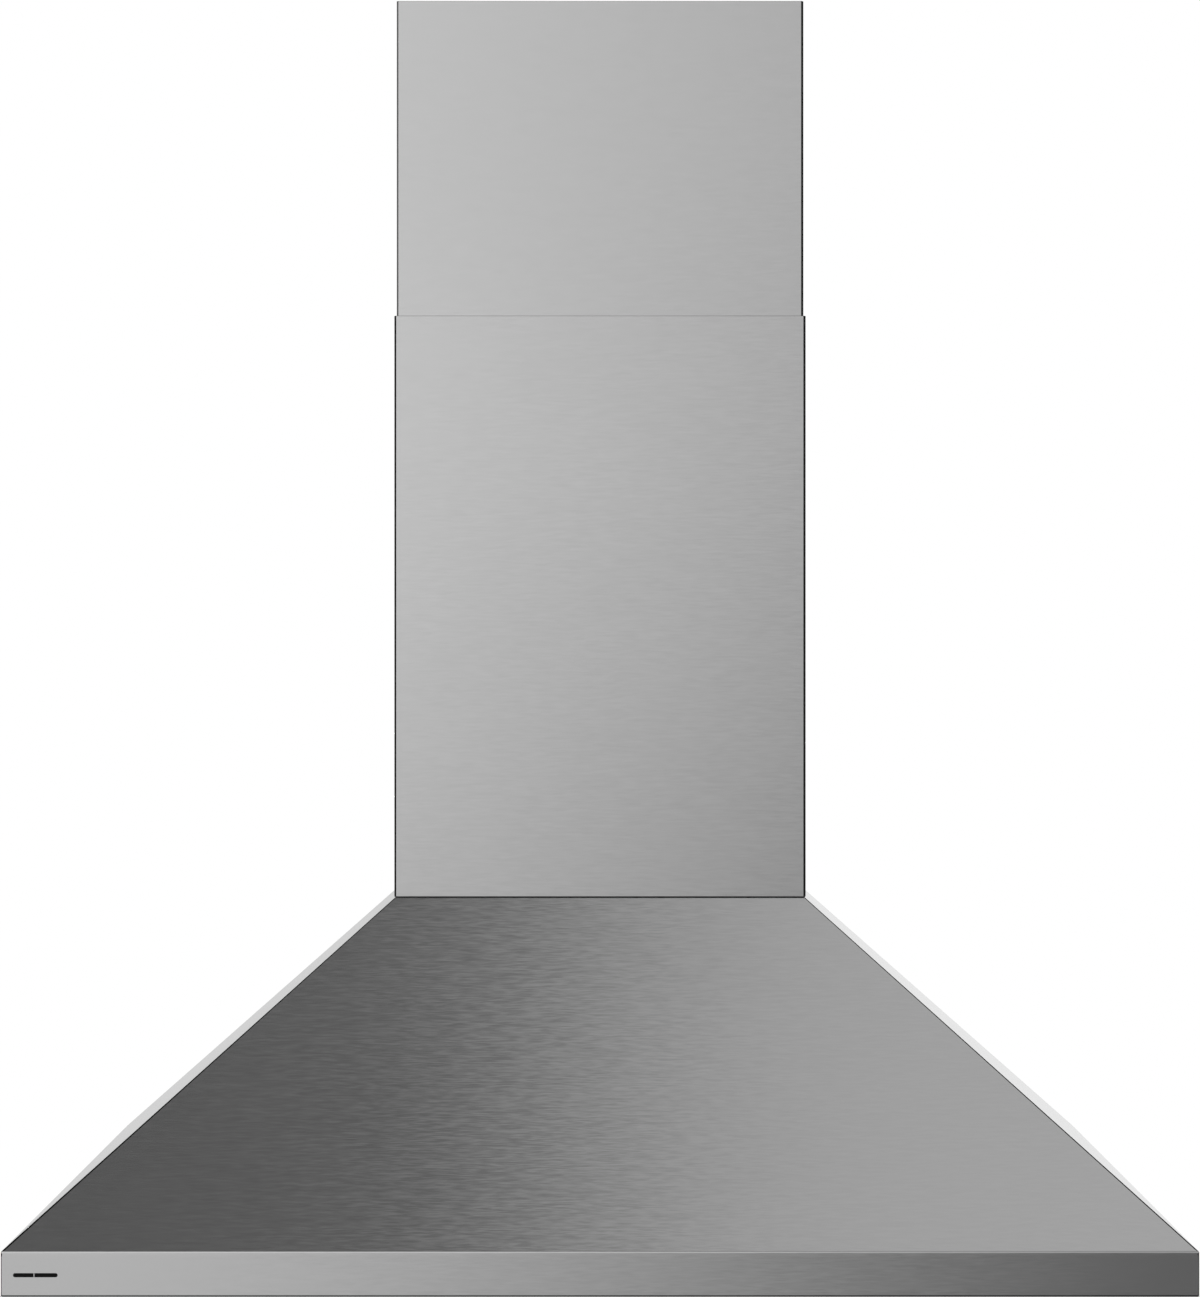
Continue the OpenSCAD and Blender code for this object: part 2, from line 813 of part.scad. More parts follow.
// A quarter of a disc about the point c, on the side given by the signs, with a lap on its neighbours
module quarter(c, r, sx, sy, lap) intersection() {
    translate(c) circle(r);
    translate([c[0] + (sx < 0 ? -r : -lap), c[1] + (sy < 0 ? -r : -lap)])
        square([r + lap, r + lap]);
}

// The scroll's outline in depth and height about the fan's axis, set in by t
module scroll_outline(t, top) {
    c = spiral_c;
    quarter([-c, -c], spiral_r - t, -1, 1, t);
    quarter([c, -c], spiral_r + spiral_step - t, -1, -1, t);
    quarter([c, c], spiral_r + 2 * spiral_step - t, 1, -1, t);
    translate([-c + t, -c - t]) square([outlet_right + c - 2 * t, top + c + t]);
}

module at_fan() translate([0, fan_y, fan_z]) children();

module scroll_wall() color("lightgray") at_fan() along_x(-scroll_half, scroll_half) difference() {
    scroll_outline(0, outlet_z - fan_z);
    scroll_outline(scroll_sheet, outlet_z - fan_z + over);
}

module scroll_side() at_fan() {
    difference() {
        along_x(scroll_half, plate_half) scroll_outline(0, outlet_z - fan_z);
        rod_x(scroll_half - over, plate_half + over, eye_r + bell_r);
    }
    rotate([0, 90, 0]) rotate_extrude() intersection() {
        translate([eye_r + bell_r, plate_half - bell_r]) difference() {
            circle(bell_r);
            circle(bell_r - scroll_sheet);
        }
        translate([eye_r, plate_half - bell_r]) square([bell_r, bell_r]);
    }
}

module scroll_right_side() color("silver") scroll_side();

module scroll_left_side() color("silver") mirror([1, 0, 0]) scroll_side();

module motor() color("dimgray") at_fan() difference() {
    union() {
        rod_x(motor_back, motor_face, motor_r - motor_step);
        rod_x(motor_back + motor_step_w, motor_face - motor_step_w, motor_r);
        rod_x(motor_back - motor_step, motor_face + over, motor_boss_r);
    }
    rod_x(motor_face - shaft_in - over, motor_face + 2 * over, shaft_r + run_gap);
}

module motor_mount() color("darkgray") at_fan() {
    ring_r = motor_r + mount_ring_t;
    mirror([1, 0, 0]) {
        difference() {
            rod_x(plate_half, plate_half + mount_ring_w, ring_r);
            rod_x(plate_half - over, plate_half + mount_ring_w + over, motor_r + run_gap);
        }
        for (i = [0 : mount_arms - 1]) rotate([mount_turn + i * 360 / mount_arms, 0, 0])
            box([plate_half, motor_r + mount_ring_t / 2, -mount_arm_w / 2],
                [plate_half + mount_t, eye_r + bell_r + mount_reach, mount_arm_w / 2]);
    }
}

module motor_shaft() color("silver") at_fan() rod_x(motor_face - shaft_in, hub_back, shaft_r);

module impeller() color("whitesmoke") at_fan() difference() {
    union() {
        for (i = [0 : blades - 1]) rotate([i * 360 / blades, 0, 0])
            translate([0, impeller_r - blade_pivot, 0]) rotate([blade_tilt, 0, 0])
            box([-(impeller_w - ring_w) / 2, -blade_in, -blade_t / 2],
                [(impeller_w - ring_w) / 2, blade_out, blade_t / 2]);
        both_sides() difference() {
            rod_x(impeller_w / 2 - ring_w, impeller_w / 2, impeller_r);
            rod_x(impeller_w / 2 - ring_w - over, impeller_w / 2 + over, impeller_r - ring_depth);
        }
        rod_x(-disc_t / 2, disc_t / 2, impeller_r);
        rod_x(hub_front, hub_back, hub_r);
    }
    rod_x(hub_front - over, hub_back + over, shaft_r + run_gap / 2);
}

module blower_brackets() color("darkgray") both_sides() difference() {
    leg_top = top_z - rubber_h;
    reach = hanger_x + rubber_r + hanger_edge;
    run = hanger_d + hanger_end;
    union() {
        box([plate_half, collar_y - run, leg_top - hanger_leg],
            [plate_half + hanger_t, collar_y + run, leg_top]);
        box([plate_half, collar_y - run, leg_top - hanger_t], [reach, collar_y + run, leg_top]);
    }
    for (y = [-hanger_d, hanger_d])
        translate([hanger_x, collar_y + y, leg_top - hanger_t - over])
            cylinder(h = hanger_t + 2 * over, r = hang_screw_r + screw_gap);
}

module rubber_mounts() color("black") at_hangers() translate([0, 0, top_z - rubber_h]) rotate_extrude()
    polygon([
        [hang_screw_r + screw_gap, 0],
        [rubber_r, 0],
        [rubber_r, rubber_h * 0.3],
        [rubber_r - rubber_waist, rubber_h * 0.5],
        [rubber_r, rubber_h * 0.7],
        [rubber_r, rubber_h],
        [hang_screw_r + screw_gap, rubber_h]
    ]);

module blower_screws() color("gray") at_hangers() {
    nut_top = top_z - rubber_h - hanger_t;
    end = nut_top - nut_t - nut_tail;
    translate([0, 0, end]) cylinder(h = frame_top - end, r = hang_screw_r);
    translate([0, 0, frame_top]) cylinder(h = hang_head_t, r = hang_head_r);
    translate([0, 0, nut_top - nut_t]) cylinder(h = nut_t, r = nut_r, $fn = 6);
}

// Outlet collar and damper

module at_damper() translate([0, collar_y, pin_z]) children();

module outlet_collar() color("black") difference() {
    union() {
        box([-plate_half - flange_w, outlet_front - flange_w, outlet_z],
            [plate_half + flange_w, outlet_back + flange_w, outlet_z + flange_t]);
        translate([0, collar_y, outlet_z + flange_t]) cylinder(h = collar_h, r = collar_r);
    }
    difference() {
        translate([0, collar_y, outlet_z - over]) cylinder(h = flange_t + collar_h + 2 * over, r = bore_r);
        at_damper() translate([0, 0, -flap_t / 2 - seat_gap - stop_h]) difference() {
            cylinder(h = stop_h, r = bore_r + over);
            translate([0, 0, -over]) cylinder(h = stop_h + 2 * over, r = stop_r);
        }
    }
    at_damper() rod_x(-collar_r - over, collar_r + over, pin_r + run_gap);
}

module damper_pin() color("silver") at_damper() rod_x(-collar_r + pin_set, collar_r - pin_set, pin_r);

// The back flap of the damper, hinged on the pin, with two knuckles at this distance from the middle
module damper_flap(knuckle_x) difference() {
    union() {
        intersection() {
            translate([0, 0, -flap_t / 2]) cylinder(h = flap_t, r = flap_r);
            box([-flap_r, flap_gap, -flap_t], [flap_r, flap_r, flap_t]);
        }
        both_sides() {
            rod_x(knuckle_x, knuckle_x + knuckle_w, knuckle_r);
            box([knuckle_x, 0, -flap_t / 2], [knuckle_x + knuckle_w, flap_gap + over, flap_t / 2]);
        }
    }
    rod_x(-flap_r, flap_r, pin_r + run_gap);
}

module damper_flap_front() color("dimgray") at_damper() mirror([0, 1, 0]) damper_flap(front_knuckle_x);

module damper_flap_back() color("dimgray") at_damper() damper_flap(back_knuckle_x);

// Electrics

module junction_box() color("darkslategray") translate([junction_x, fan_y, frame_top]) difference() {
    box([-junction_w / 2, -junction_d / 2, 0], [junction_w / 2, junction_d / 2, junction_h]);
    box([-junction_w / 2 + junction_wall, -junction_d / 2 + junction_wall, junction_wall],
        [junction_w / 2 - junction_wall, junction_d / 2 - junction_wall, junction_h + over]);
    for (y = [0, control_hole_y])
        translate([0, y, -over]) cylinder(h = junction_wall + 2 * over, r = motor_lead_r + fit_gap);
}

module junction_lid() color("dimgray") translate([junction_x, fan_y, frame_top + junction_h]) difference() {
    box([-junction_w / 2, -junction_d / 2, 0], [junction_w / 2, junction_d / 2, junction_wall]);
    translate([0, -gland_set, -over]) cylinder(h = junction_wall + 2 * over, r = gland_neck_r + screw_gap);
}

module terminal_block() color("white") translate([junction_x, fan_y, frame_top + junction_wall]) {
    translate([-terminal_w / 2, terminal_front, 0]) cube([terminal_w, terminal_d, terminal_h]);
    for (i = [0 : terminal_count - 1])
        translate([0, terminal_front + (terminal_d - (terminal_count - 1) * terminal_pitch) / 2, terminal_h])
            translate([-terminal_rib[0] / 2, i * terminal_pitch - terminal_rib[1] / 2, 0]) cube(terminal_rib);
}

module cable_gland() color("black") translate([junction_x, gland_y, frame_top + junction_h]) difference() {
    union() {
        translate([0, 0, junction_wall]) cylinder(h = gland_nut_h, r = gland_nut_r, $fn = 6);
        translate([0, 0, junction_wall]) cylinder(h = gland_h, r = gland_r);
        translate([0, 0, -gland_neck_h]) cylinder(h = gland_neck_h + junction_wall, r = gland_neck_r);
        translate([0, 0, -gland_locknut_h]) cylinder(h = gland_locknut_h, r = gland_r, $fn = 6);
    }
    translate([0, 0, -gland_neck_h - over])
        cylinder(h = gland_neck_h + junction_wall + gland_h + 2 * over, r = gland_bore_r);
}

module motor_lead() color("black") {
    x = junction_x;
    lead([
        [x, fan_y, frame_top + junction_wall + lead_end],
        [x, fan_y, fan_z + motor_lead_lift],
        [motor_back, fan_y, fan_z + motor_lead_lift]
    ], motor_lead_r);
}

module at_capacitor() translate([capacitor_x, capacitor_y, frame_top + capacitor_r + capacitor_lift])
    children();

module capacitor() color("whitesmoke") at_capacitor() {
    rod_y(0, capacitor_l, capacitor_r);
    rod_y(-capacitor_end, 0, capacitor_r - capacitor_end);
}

module capacitor_clip() color("darkgray") at_capacitor() translate([0, capacitor_l / 2, 0]) {
    foot_t = capacitor_lift - run_gap;
    along_y(-clip_w / 2, clip_w / 2) {
        translate([-capacitor_r - clip_foot, -capacitor_r - capacitor_lift])
            square([2 * (capacitor_r + clip_foot), foot_t]);
        difference() {
            circle(capacitor_r + foot_t);
            circle(capacitor_r + run_gap);
        }
    }
}

canopy_front_panel();
canopy_left_panel();
canopy_right_panel();
canopy_back_panel();
underside_liner();
top_frame();
lower_chimney_cover();
cover_screws();
upper_chimney_cover();
upper_wall_bracket();
upper_screws();
window_strip();
window_housing();
lamp_bezels();
lamp_lenses();
lamp_bodies();
control_fascia();
control_box();
control_board();
button_1();
button_2();
button_3();
button_4();
button_5();
lamp_driver();
lamp_leads();
control_lead();
junction_box();
junction_lid();
terminal_block();
cable_gland();
lead_grommets();
motor_lead();
capacitor();
capacitor_clip();
scroll_wall();
scroll_left_side();
scroll_right_side();
motor();
motor_mount();
motor_shaft();
impeller();
blower_brackets();
rubber_mounts();
blower_screws();
outlet_collar();
damper_pin();
damper_flap_front();
damper_flap_back();
filter_left_frame();
filter_left_baffles();
filter_left_latch();
filter_centre_frame();
filter_centre_baffles();
filter_centre_latch();
filter_right_frame();
filter_right_baffles();
filter_right_latch();
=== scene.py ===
"""Looks of a wall mount range hood, in the CAD frame: metres, the wall at y = 0, the rim's foot at z = 0."""

import json
import math
from contextlib import contextmanager

import bmesh
import bpy
from mathutils import Matrix, Vector

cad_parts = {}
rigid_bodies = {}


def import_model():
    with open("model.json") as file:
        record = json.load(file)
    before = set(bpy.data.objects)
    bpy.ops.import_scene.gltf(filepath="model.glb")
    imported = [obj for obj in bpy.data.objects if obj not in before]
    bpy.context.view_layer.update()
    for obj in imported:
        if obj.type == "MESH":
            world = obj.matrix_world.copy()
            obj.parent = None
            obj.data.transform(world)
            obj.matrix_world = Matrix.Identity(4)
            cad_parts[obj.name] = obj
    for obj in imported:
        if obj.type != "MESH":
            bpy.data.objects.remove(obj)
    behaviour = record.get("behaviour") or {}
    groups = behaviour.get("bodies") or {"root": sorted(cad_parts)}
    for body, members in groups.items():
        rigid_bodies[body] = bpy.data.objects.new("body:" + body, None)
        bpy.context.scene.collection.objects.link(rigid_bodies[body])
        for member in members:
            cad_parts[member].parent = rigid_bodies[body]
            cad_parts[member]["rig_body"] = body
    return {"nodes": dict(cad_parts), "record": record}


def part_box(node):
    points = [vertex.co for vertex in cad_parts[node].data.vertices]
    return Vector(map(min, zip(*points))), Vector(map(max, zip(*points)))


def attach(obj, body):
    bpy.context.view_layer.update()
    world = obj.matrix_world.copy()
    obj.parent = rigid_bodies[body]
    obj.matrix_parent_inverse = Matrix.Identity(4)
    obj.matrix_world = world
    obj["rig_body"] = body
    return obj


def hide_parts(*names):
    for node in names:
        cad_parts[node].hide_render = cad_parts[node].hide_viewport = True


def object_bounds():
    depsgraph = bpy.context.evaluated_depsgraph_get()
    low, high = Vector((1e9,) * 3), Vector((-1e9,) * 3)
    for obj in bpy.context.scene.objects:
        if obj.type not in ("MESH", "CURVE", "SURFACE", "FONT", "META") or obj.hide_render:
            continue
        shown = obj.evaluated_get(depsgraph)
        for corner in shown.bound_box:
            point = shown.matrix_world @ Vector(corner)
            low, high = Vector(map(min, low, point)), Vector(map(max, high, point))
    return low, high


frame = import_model()
nodes = frame["nodes"]
parts = {part["node"]: part for part in frame["record"]["subparts"]}
cad_low, cad_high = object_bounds()

MM = 0.001

# Camera
CAMERA_DISTANCE = 2.373
CAMERA_HEIGHT = 0.4833
CAMERA_LENS = 69.25
CAMERA_SHIFT_Y = 0.0039

# Studio
FLOOR_Z = -1.65
FLOOR_SIZE = 9.0
FLOOR_GLOW = 0.62
ROOM_LIGHT = 0.62

# Sheet
FOLD_R = 1.2 * MM
CUT_EDGE = 0.25 * MM


def make_camera():
    data = bpy.data.cameras.new("camera")
    data.lens = CAMERA_LENS
    data.sensor_width = 36
    data.shift_y = CAMERA_SHIFT_Y
    camera = bpy.data.objects.new("camera", data)
    camera.location = (0, -CAMERA_DISTANCE, CAMERA_HEIGHT)
    camera.rotation_euler = (math.radians(90), 0, 0)
    bpy.context.scene.collection.objects.link(camera)
    bpy.context.scene.camera = camera


# Node trees


class Shading:
    """A material's node tree, with short calls for the nodes that the finishes share."""

    def __init__(self, name):
        self.material = bpy.data.materials.new(name)
        self.material.use_nodes = True
        self.tree = self.material.node_tree
        self.surface = self.tree.nodes["Principled BSDF"]

    def node(self, kind, **settings):
        made = self.tree.nodes.new(kind)
        for key, value in settings.items():
            setattr(made, key, value)
        return made

    def link(self, output, target):
        self.tree.links.new(output, target)

    def value(self, socket, number):
        self.surface.inputs[socket].default_value = number

    def into(self, output, socket):
        self.link(output, self.surface.inputs[socket])

    def place(self, scale):
        """Object coordinates, stretched by a scale for each axis."""
        coordinates = self.node("ShaderNodeTexCoord")
        mapping = self.node("ShaderNodeMapping")
        mapping.inputs["Scale"].default_value = scale
        self.link(coordinates.outputs["Object"], mapping.inputs["Vector"])
        return mapping.outputs["Vector"]

    def noise(self, scale, detail=3.0, roughness=0.55):
        texture = self.node("ShaderNodeTexNoise")
        texture.inputs["Scale"].default_value = 1.0
        texture.inputs["Detail"].default_value = detail
        texture.inputs["Roughness"].default_value = roughness
        self.link(self.place(scale), texture.inputs["Vector"])
        return texture.outputs["Fac"]

    def lines(self, across, rows, reach):
        """Straight hairlines: narrow rows that cross the named axes, each with its own noise along it."""
        row = self.node("ShaderNodeVectorMath", operation="FLOOR")
        self.link(self.place([rows if axis in across else 0 for axis in "xyz"]), row.inputs[0])
        seed = self.node("ShaderNodeTexWhiteNoise", noise_dimensions="3D")
        self.link(row.outputs["Vector"], seed.inputs["Vector"])
        start = self.node("ShaderNodeVectorMath", operation="MULTIPLY_ADD")
        self.link(seed.outputs["Color"], start.inputs[0])
        start.inputs[1].default_value = (400, 400, 400)
        self.link(self.place([0 if axis in across else reach for axis in "xyz"]), start.inputs[2])
        texture = self.node("ShaderNodeTexNoise")
        texture.inputs["Scale"].default_value = 1.0
        texture.inputs["Detail"].default_value = 1.0
        self.link(start.outputs["Vector"], texture.inputs["Vector"])
        return texture.outputs["Fac"]

    def cells(self, scale, feature="F1"):
        texture = self.node("ShaderNodeTexVoronoi", feature=feature)
        texture.inputs["Scale"].default_value = 1.0
        self.link(self.place(scale), texture.inputs["Vector"])
        return texture.outputs

    def spread(self, source, low, high, start=0.3, end=0.7):
        """Maps a texture's usual values to a range."""
        mapped = self.node("ShaderNodeMapRange")
        mapped.inputs["From Min"].default_value = start
        mapped.inputs["From Max"].default_value = end
        mapped.inputs["To Min"].default_value = low
        mapped.inputs["To Max"].default_value = high
        self.link(source, mapped.inputs["Value"])
        return mapped.outputs["Result"]

    def math(self, operation, first, second):
        made = self.node("ShaderNodeMath", operation=operation)
        for socket, source in zip(made.inputs, (first, second)):
            if isinstance(source, (int, float)):
                socket.default_value = source
            else:
                self.link(source, socket)
        return made.outputs["Value"]

    def blend(self, first, second, share):
        """The share of the second value over the first."""
        return self.math("ADD", self.math("MULTIPLY", first, 1 - share), self.math("MULTIPLY", second, share))

    def tint(self, factor, dark, light):
        """A colour between two others, by a factor."""
        mix = self.node("ShaderNodeMix", data_type="RGBA")
        mix.inputs["A"].default_value = (*dark, 1)
        mix.inputs["B"].default_value = (*light, 1)
        self.link(factor, mix.inputs["Factor"])
        return mix.outputs["Result"]

    def bump(self, height, distance, strength=1.0):
        made = self.node("ShaderNodeBump")
        made.inputs["Distance"].default_value = distance
        made.inputs["Strength"].default_value = strength
        self.link(height, made.inputs["Height"])
        self.into(made.outputs["Normal"], "Normal")

    def sway(self, amount, axis, reach):
        """Leans the surface along the brushed lines, square to the axis, by an amount about its middle."""
        geometry = self.node("ShaderNodeNewGeometry")
        along = self.node("ShaderNodeVectorMath", operation="CROSS_PRODUCT")
        along.inputs[0].default_value = axis
        self.link(geometry.outputs["Normal"], along.inputs[1])
        turned = self.node("ShaderNodeVectorMath", operation="SCALE")
        self.link(along.outputs["Vector"], turned.inputs[0])
        lean = self.math("MULTIPLY", self.math("SUBTRACT", amount, 0.5), 2 * reach)
        self.link(lean, turned.inputs["Scale"])
        total = self.node("ShaderNodeVectorMath", operation="ADD")
        self.link(geometry.outputs["Normal"], total.inputs[0])
        self.link(turned.outputs["Vector"], total.inputs[1])
        unit = self.node("ShaderNodeVectorMath", operation="NORMALIZE")
        self.link(total.outputs["Vector"], unit.inputs[0])
        self.into(unit.outputs["Vector"], "Normal")


def grey(level):
    return (level, level, level)


# Finishes


def brushed_steel(name, across="z", dark=0.565, light=0.583, rough=(0.17, 0.21), reach=0.013, edge=1.0):
    """Stainless sheet brushed in fine straight lines, which cross the axes named in across."""
    made = Shading(name)
    grain = made.blend(made.lines(across, 1500, 75), made.lines(across, 800, 60), 0.3)
    made.into(made.tint(made.spread(grain, 0, 1, 0.35, 0.65), grey(dark), grey(light)), "Base Color")
    haze = made.noise((4, 4, 4), 2.0)
    made.into(made.spread(made.blend(grain, haze, 0.4), *rough, 0.35, 0.65), "Roughness")
    axis = (0, 1, 0) if "y" in across else (0, 0, 1)
    made.sway(made.spread(grain, 0, 1, 0.35, 0.65), axis, reach)
    made.value("Metallic", 1.0)
    made.value("Specular Tint", (*grey(edge), 1))
    return made.material


def galvanised_steel():
    """Zinc-coated sheet with its faint crystal spangle."""
    made = Shading("galvanised_steel")
    spangle = made.cells((150, 150, 150))["Color"]
    split = made.node("ShaderNodeSeparateColor")
    made.link(spangle, split.inputs["Color"])
    dust = made.noise((30, 30, 30), 4.0)
    level = made.blend(split.outputs["Red"], dust, 0.6)
    colour = made.tint(made.spread(level, 0, 1, 0.2, 0.8), (0.47, 0.49, 0.50), (0.57, 0.59, 0.60))
    made.into(colour, "Base Color")
    made.into(made.spread(split.outputs["Green"], 0.38, 0.48, 0, 1), "Roughness")
    made.bump(dust, 0.00005, 0.4)
    made.value("Metallic", 1.0)
    return made.material


def bright_steel(name, dark, light, rough=(0.18, 0.34)):
    """Plated or turned metal, with fine tool marks."""
    made = Shading(name)
    marks = made.noise((700, 700, 700), 2.0)
    made.into(made.tint(made.spread(marks, 0, 1), dark, light), "Base Color")
    made.into(made.spread(marks, *rough), "Roughness")
    made.bump(marks, 0.00002, 0.4)
    made.value("Metallic", 1.0)
    return made.material


def cast_aluminium():
    made = Shading("aluminium_cast")
    skin = made.noise((420, 420, 420), 5.0, 0.65)
    made.into(made.tint(made.spread(skin, 0, 1), grey(0.42), grey(0.56)), "Base Color")
    made.into(made.spread(skin, 0.42, 0.6), "Roughness")
    made.bump(skin, 0.00012, 0.6)
    made.value("Metallic", 1.0)
    return made.material


def moulded_plastic(name, dark, light, rough=(0.38, 0.5), texture=0.00006):
    """Plastic with the fine grain of a spark-eroded mould."""
    made = Shading(name)
    skin = made.noise((1500, 1500, 1500), 2.0, 0.6)
    cloud = made.noise((25, 25, 25), 3.0)
    made.into(made.tint(made.spread(cloud, 0, 1), dark, light), "Base Color")
    made.into(made.spread(skin, *rough), "Roughness")
    made.bump(skin, texture, 0.5)
    return made.material


def window_black():
    """Dark smooth plastic that passes infrared, with faint flow marks."""
    made = Shading("window_black")
    flow = made.noise((30, 30, 160), 2.0)
    made.into(made.tint(made.spread(flow, 0, 1), grey(0.001), grey(0.003)), "Base Color")
    made.into(made.spread(flow, 0.5, 0.6), "Roughness")
    made.value("Specular IOR Level", 0.15)
    return made.material


def lamp_glass():
    """Frosted lens: pale, slightly milky, with a stippled inner face."""
    made = Shading("lamp_glass")
    stipple = made.cells((700, 700, 700))["Distance"]
    colour = made.tint(made.spread(stipple, 0, 1, 0, 0.6), (0.86, 0.87, 0.86), (0.93, 0.93, 0.91))
    made.into(colour, "Base Color")
    made.into(made.spread(stipple, 0.22, 0.4, 0, 0.6), "Roughness")
    made.bump(stipple, 0.0001, 0.4)
    made.value("Transmission Weight", 0.35)
    made.value("IOR", 1.49)
    return made.material


def board_green():
    """Circuit board lacquer over its copper tracks."""
    made = Shading("board_green")
    tracks = made.cells((160, 260, 160), "DISTANCE_TO_EDGE")["Distance"]
    colour = made.tint(made.spread(tracks, 0, 1, 0.04, 0.08), (0.03, 0.16, 0.07), (0.012, 0.085, 0.035))
    made.into(colour, "Base Color")
    made.into(made.spread(tracks, 0.22, 0.32, 0, 0.3), "Roughness")
    made.bump(tracks, 0.0001, 0.3)
    return made.material


def rubber():
    made = Shading("rubber")
    bloom = made.noise((120, 120, 120), 4.0, 0.6)
    made.into(made.tint(made.spread(bloom, 0, 1), grey(0.012), grey(0.030)), "Base Color")
    made.into(made.spread(bloom, 0.62, 0.8), "Roughness")
    made.bump(bloom, 0.00008, 0.5)
    return made.material


# Studio


def make_floor():
    """A pale floor far below: white to the camera but for the hood's shadow, and unseen from below."""
    bpy.ops.object.select_all(action="DESELECT")
    bpy.ops.mesh.primitive_plane_add(size=FLOOR_SIZE, location=(0, -0.25, FLOOR_Z))
    floor = bpy.context.object
    floor.name = "floor"
    material = bpy.data.materials.new("floor_white")
    material.use_nodes = True
    tree = material.node_tree
    surface = tree.nodes["Principled BSDF"]
    surface.inputs["Base Color"].default_value = (0.8, 0.8, 0.8, 1)
    surface.inputs["Roughness"].default_value = 0.9
    path = tree.nodes.new("ShaderNodeLightPath")
    seen = tree.nodes.new("ShaderNodeMath")
    seen.operation = "MULTIPLY"
    seen.inputs[1].default_value = FLOOR_GLOW
    tree.links.new(path.outputs["Is Camera Ray"], seen.inputs[0])
    surface.inputs["Emission Color"].default_value = (1, 1, 1, 1)
    tree.links.new(seen.outputs["Value"], surface.inputs["Emission Strength"])
    geometry = tree.nodes.new("ShaderNodeNewGeometry")
    clear = tree.nodes.new("ShaderNodeBsdfTransparent")
    sided = tree.nodes.new("ShaderNodeMixShader")
    tree.links.new(geometry.outputs["Backfacing"], sided.inputs["Fac"])
    tree.links.new(surface.outputs["BSDF"], sided.inputs[1])
    tree.links.new(clear.outputs["BSDF"], sided.inputs[2])
    tree.links.new(sided.outputs["Shader"], tree.nodes["Material Output"].inputs["Surface"])
    floor.data.materials.append(material)
    floor.visible_glossy = False


def make_world():
    """White to the camera. Metal sees a studio that is lighter on the left and towards the top."""
    world = bpy.data.worlds.new("studio")
    bpy.context.scene.world = world
    world.use_nodes = True
    tree = world.node_tree
    tree.nodes.clear()

    def node(kind, **settings):
        made = tree.nodes.new(kind)
        for key, value in settings.items():
            setattr(made, key, value)
        return made

    def calculate(operation, *sources):
        made = node("ShaderNodeMath", operation=operation)
        for socket, source in zip(made.inputs, sources):
            if isinstance(source, (int, float)):
                socket.default_value = source
            else:
                tree.links.new(source, socket)
        return made.outputs["Value"]

    def smooth(source, start, end, low=0.0, high=1.0):
        made = node("ShaderNodeMapRange", interpolation_type="SMOOTHSTEP")
        made.inputs["From Min"].default_value = start
        made.inputs["From Max"].default_value = end
        made.inputs["To Min"].default_value = low
        made.inputs["To Max"].default_value = high
        tree.links.new(source, made.inputs["Value"])
        return made.outputs["Result"]

    def mix(factor, first, second):
        made = node("ShaderNodeMix")
        sockets = (made.inputs["Factor"], made.inputs["A"], made.inputs["B"])
        for socket, source in zip(sockets, (factor, first, second)):
            if isinstance(source, (int, float)):
                socket.default_value = source
            else:
                tree.links.new(source, socket)
        return made.outputs["Result"]

    coordinates = node("ShaderNodeTexCoord")
    split = node("ShaderNodeSeparateXYZ")
    tree.links.new(coordinates.outputs["Generated"], split.inputs["Vector"])
    x, y, z = (split.outputs[axis] for axis in "XYZ")
    # In front: lighter on the left and higher up
    across = calculate("MULTIPLY", calculate("MAXIMUM", x, -0.165), smooth(z, 0.10, 0.16, 1.8, 1.2))
    front = calculate("MAXIMUM", calculate("SUBTRACT", smooth(z, -0.24, 0.10, 0.49, 0.83), across), 0.15)
    # A dark band on each side of the front, and paler walls beyond
    side = calculate("ABSOLUTE", x)
    band = calculate("MULTIPLY", smooth(side, 0.33, 0.46), calculate("SUBTRACT", 1, smooth(side, 0.56, 0.70)))
    front = mix(smooth(side, 0.5, 0.6), front, 0.5)
    front = mix(band, front, 0.10)
    # Overhead: darker on the left, lighter on the right
    above = smooth(x, -0.085, 0.065, 0.14, 0.63)
    around = mix(smooth(z, 0.45, 0.8), front, above)
    # Behind the hood the studio is pale, lighter on the right and darker below
    behind = calculate("MULTIPLY", smooth(x, -0.12, 0.12, 0.80, 1.0), smooth(z, -0.6, -0.15, 0.5, 1.0))
    around = mix(smooth(y, 0.0, 0.4), around, behind)
    path = node("ShaderNodeLightPath")
    lit = mix(path.outputs["Is Glossy Ray"], ROOM_LIGHT, around)
    seen = calculate("MAXIMUM", path.outputs["Is Camera Ray"], path.outputs["Is Transmission Ray"])
    strength = mix(seen, lit, 1.0)
    background = node("ShaderNodeBackground")
    background.inputs["Color"].default_value = (1, 1, 1, 1)
    tree.links.new(strength, background.inputs["Strength"])
    output = node("ShaderNodeOutputWorld")
    tree.links.new(background.outputs["Background"], output.inputs["Surface"])


def add_lamp(name, place, target, size, energy):
    data = bpy.data.lights.new(name, "AREA")
    data.shape = "SQUARE"
    data.size = size
    data.energy = energy
    lamp = bpy.data.objects.new(name, data)
    lamp.location = place
    lamp.rotation_euler = (Vector(target) - Vector(place)).to_track_quat("-Z", "Y").to_euler()
    lamp.visible_glossy = False
    bpy.context.scene.collection.objects.link(lamp)


def make_studio():
    make_floor()
    make_world()
    middle = (0, -0.25, 0.4)
    add_lamp("key_lamp", (-2.2, -2.6, 2.4), middle, 1.8, 45)
    add_lamp("fill_lamp", (2.6, -1.8, 1.2), middle, 2.0, 18)
    add_lamp("low_lamp", (0.3, -2.2, -1.1), middle, 1.6, 12)
    bpy.context.scene.view_settings.view_transform = "Standard"


make_camera()
make_studio()

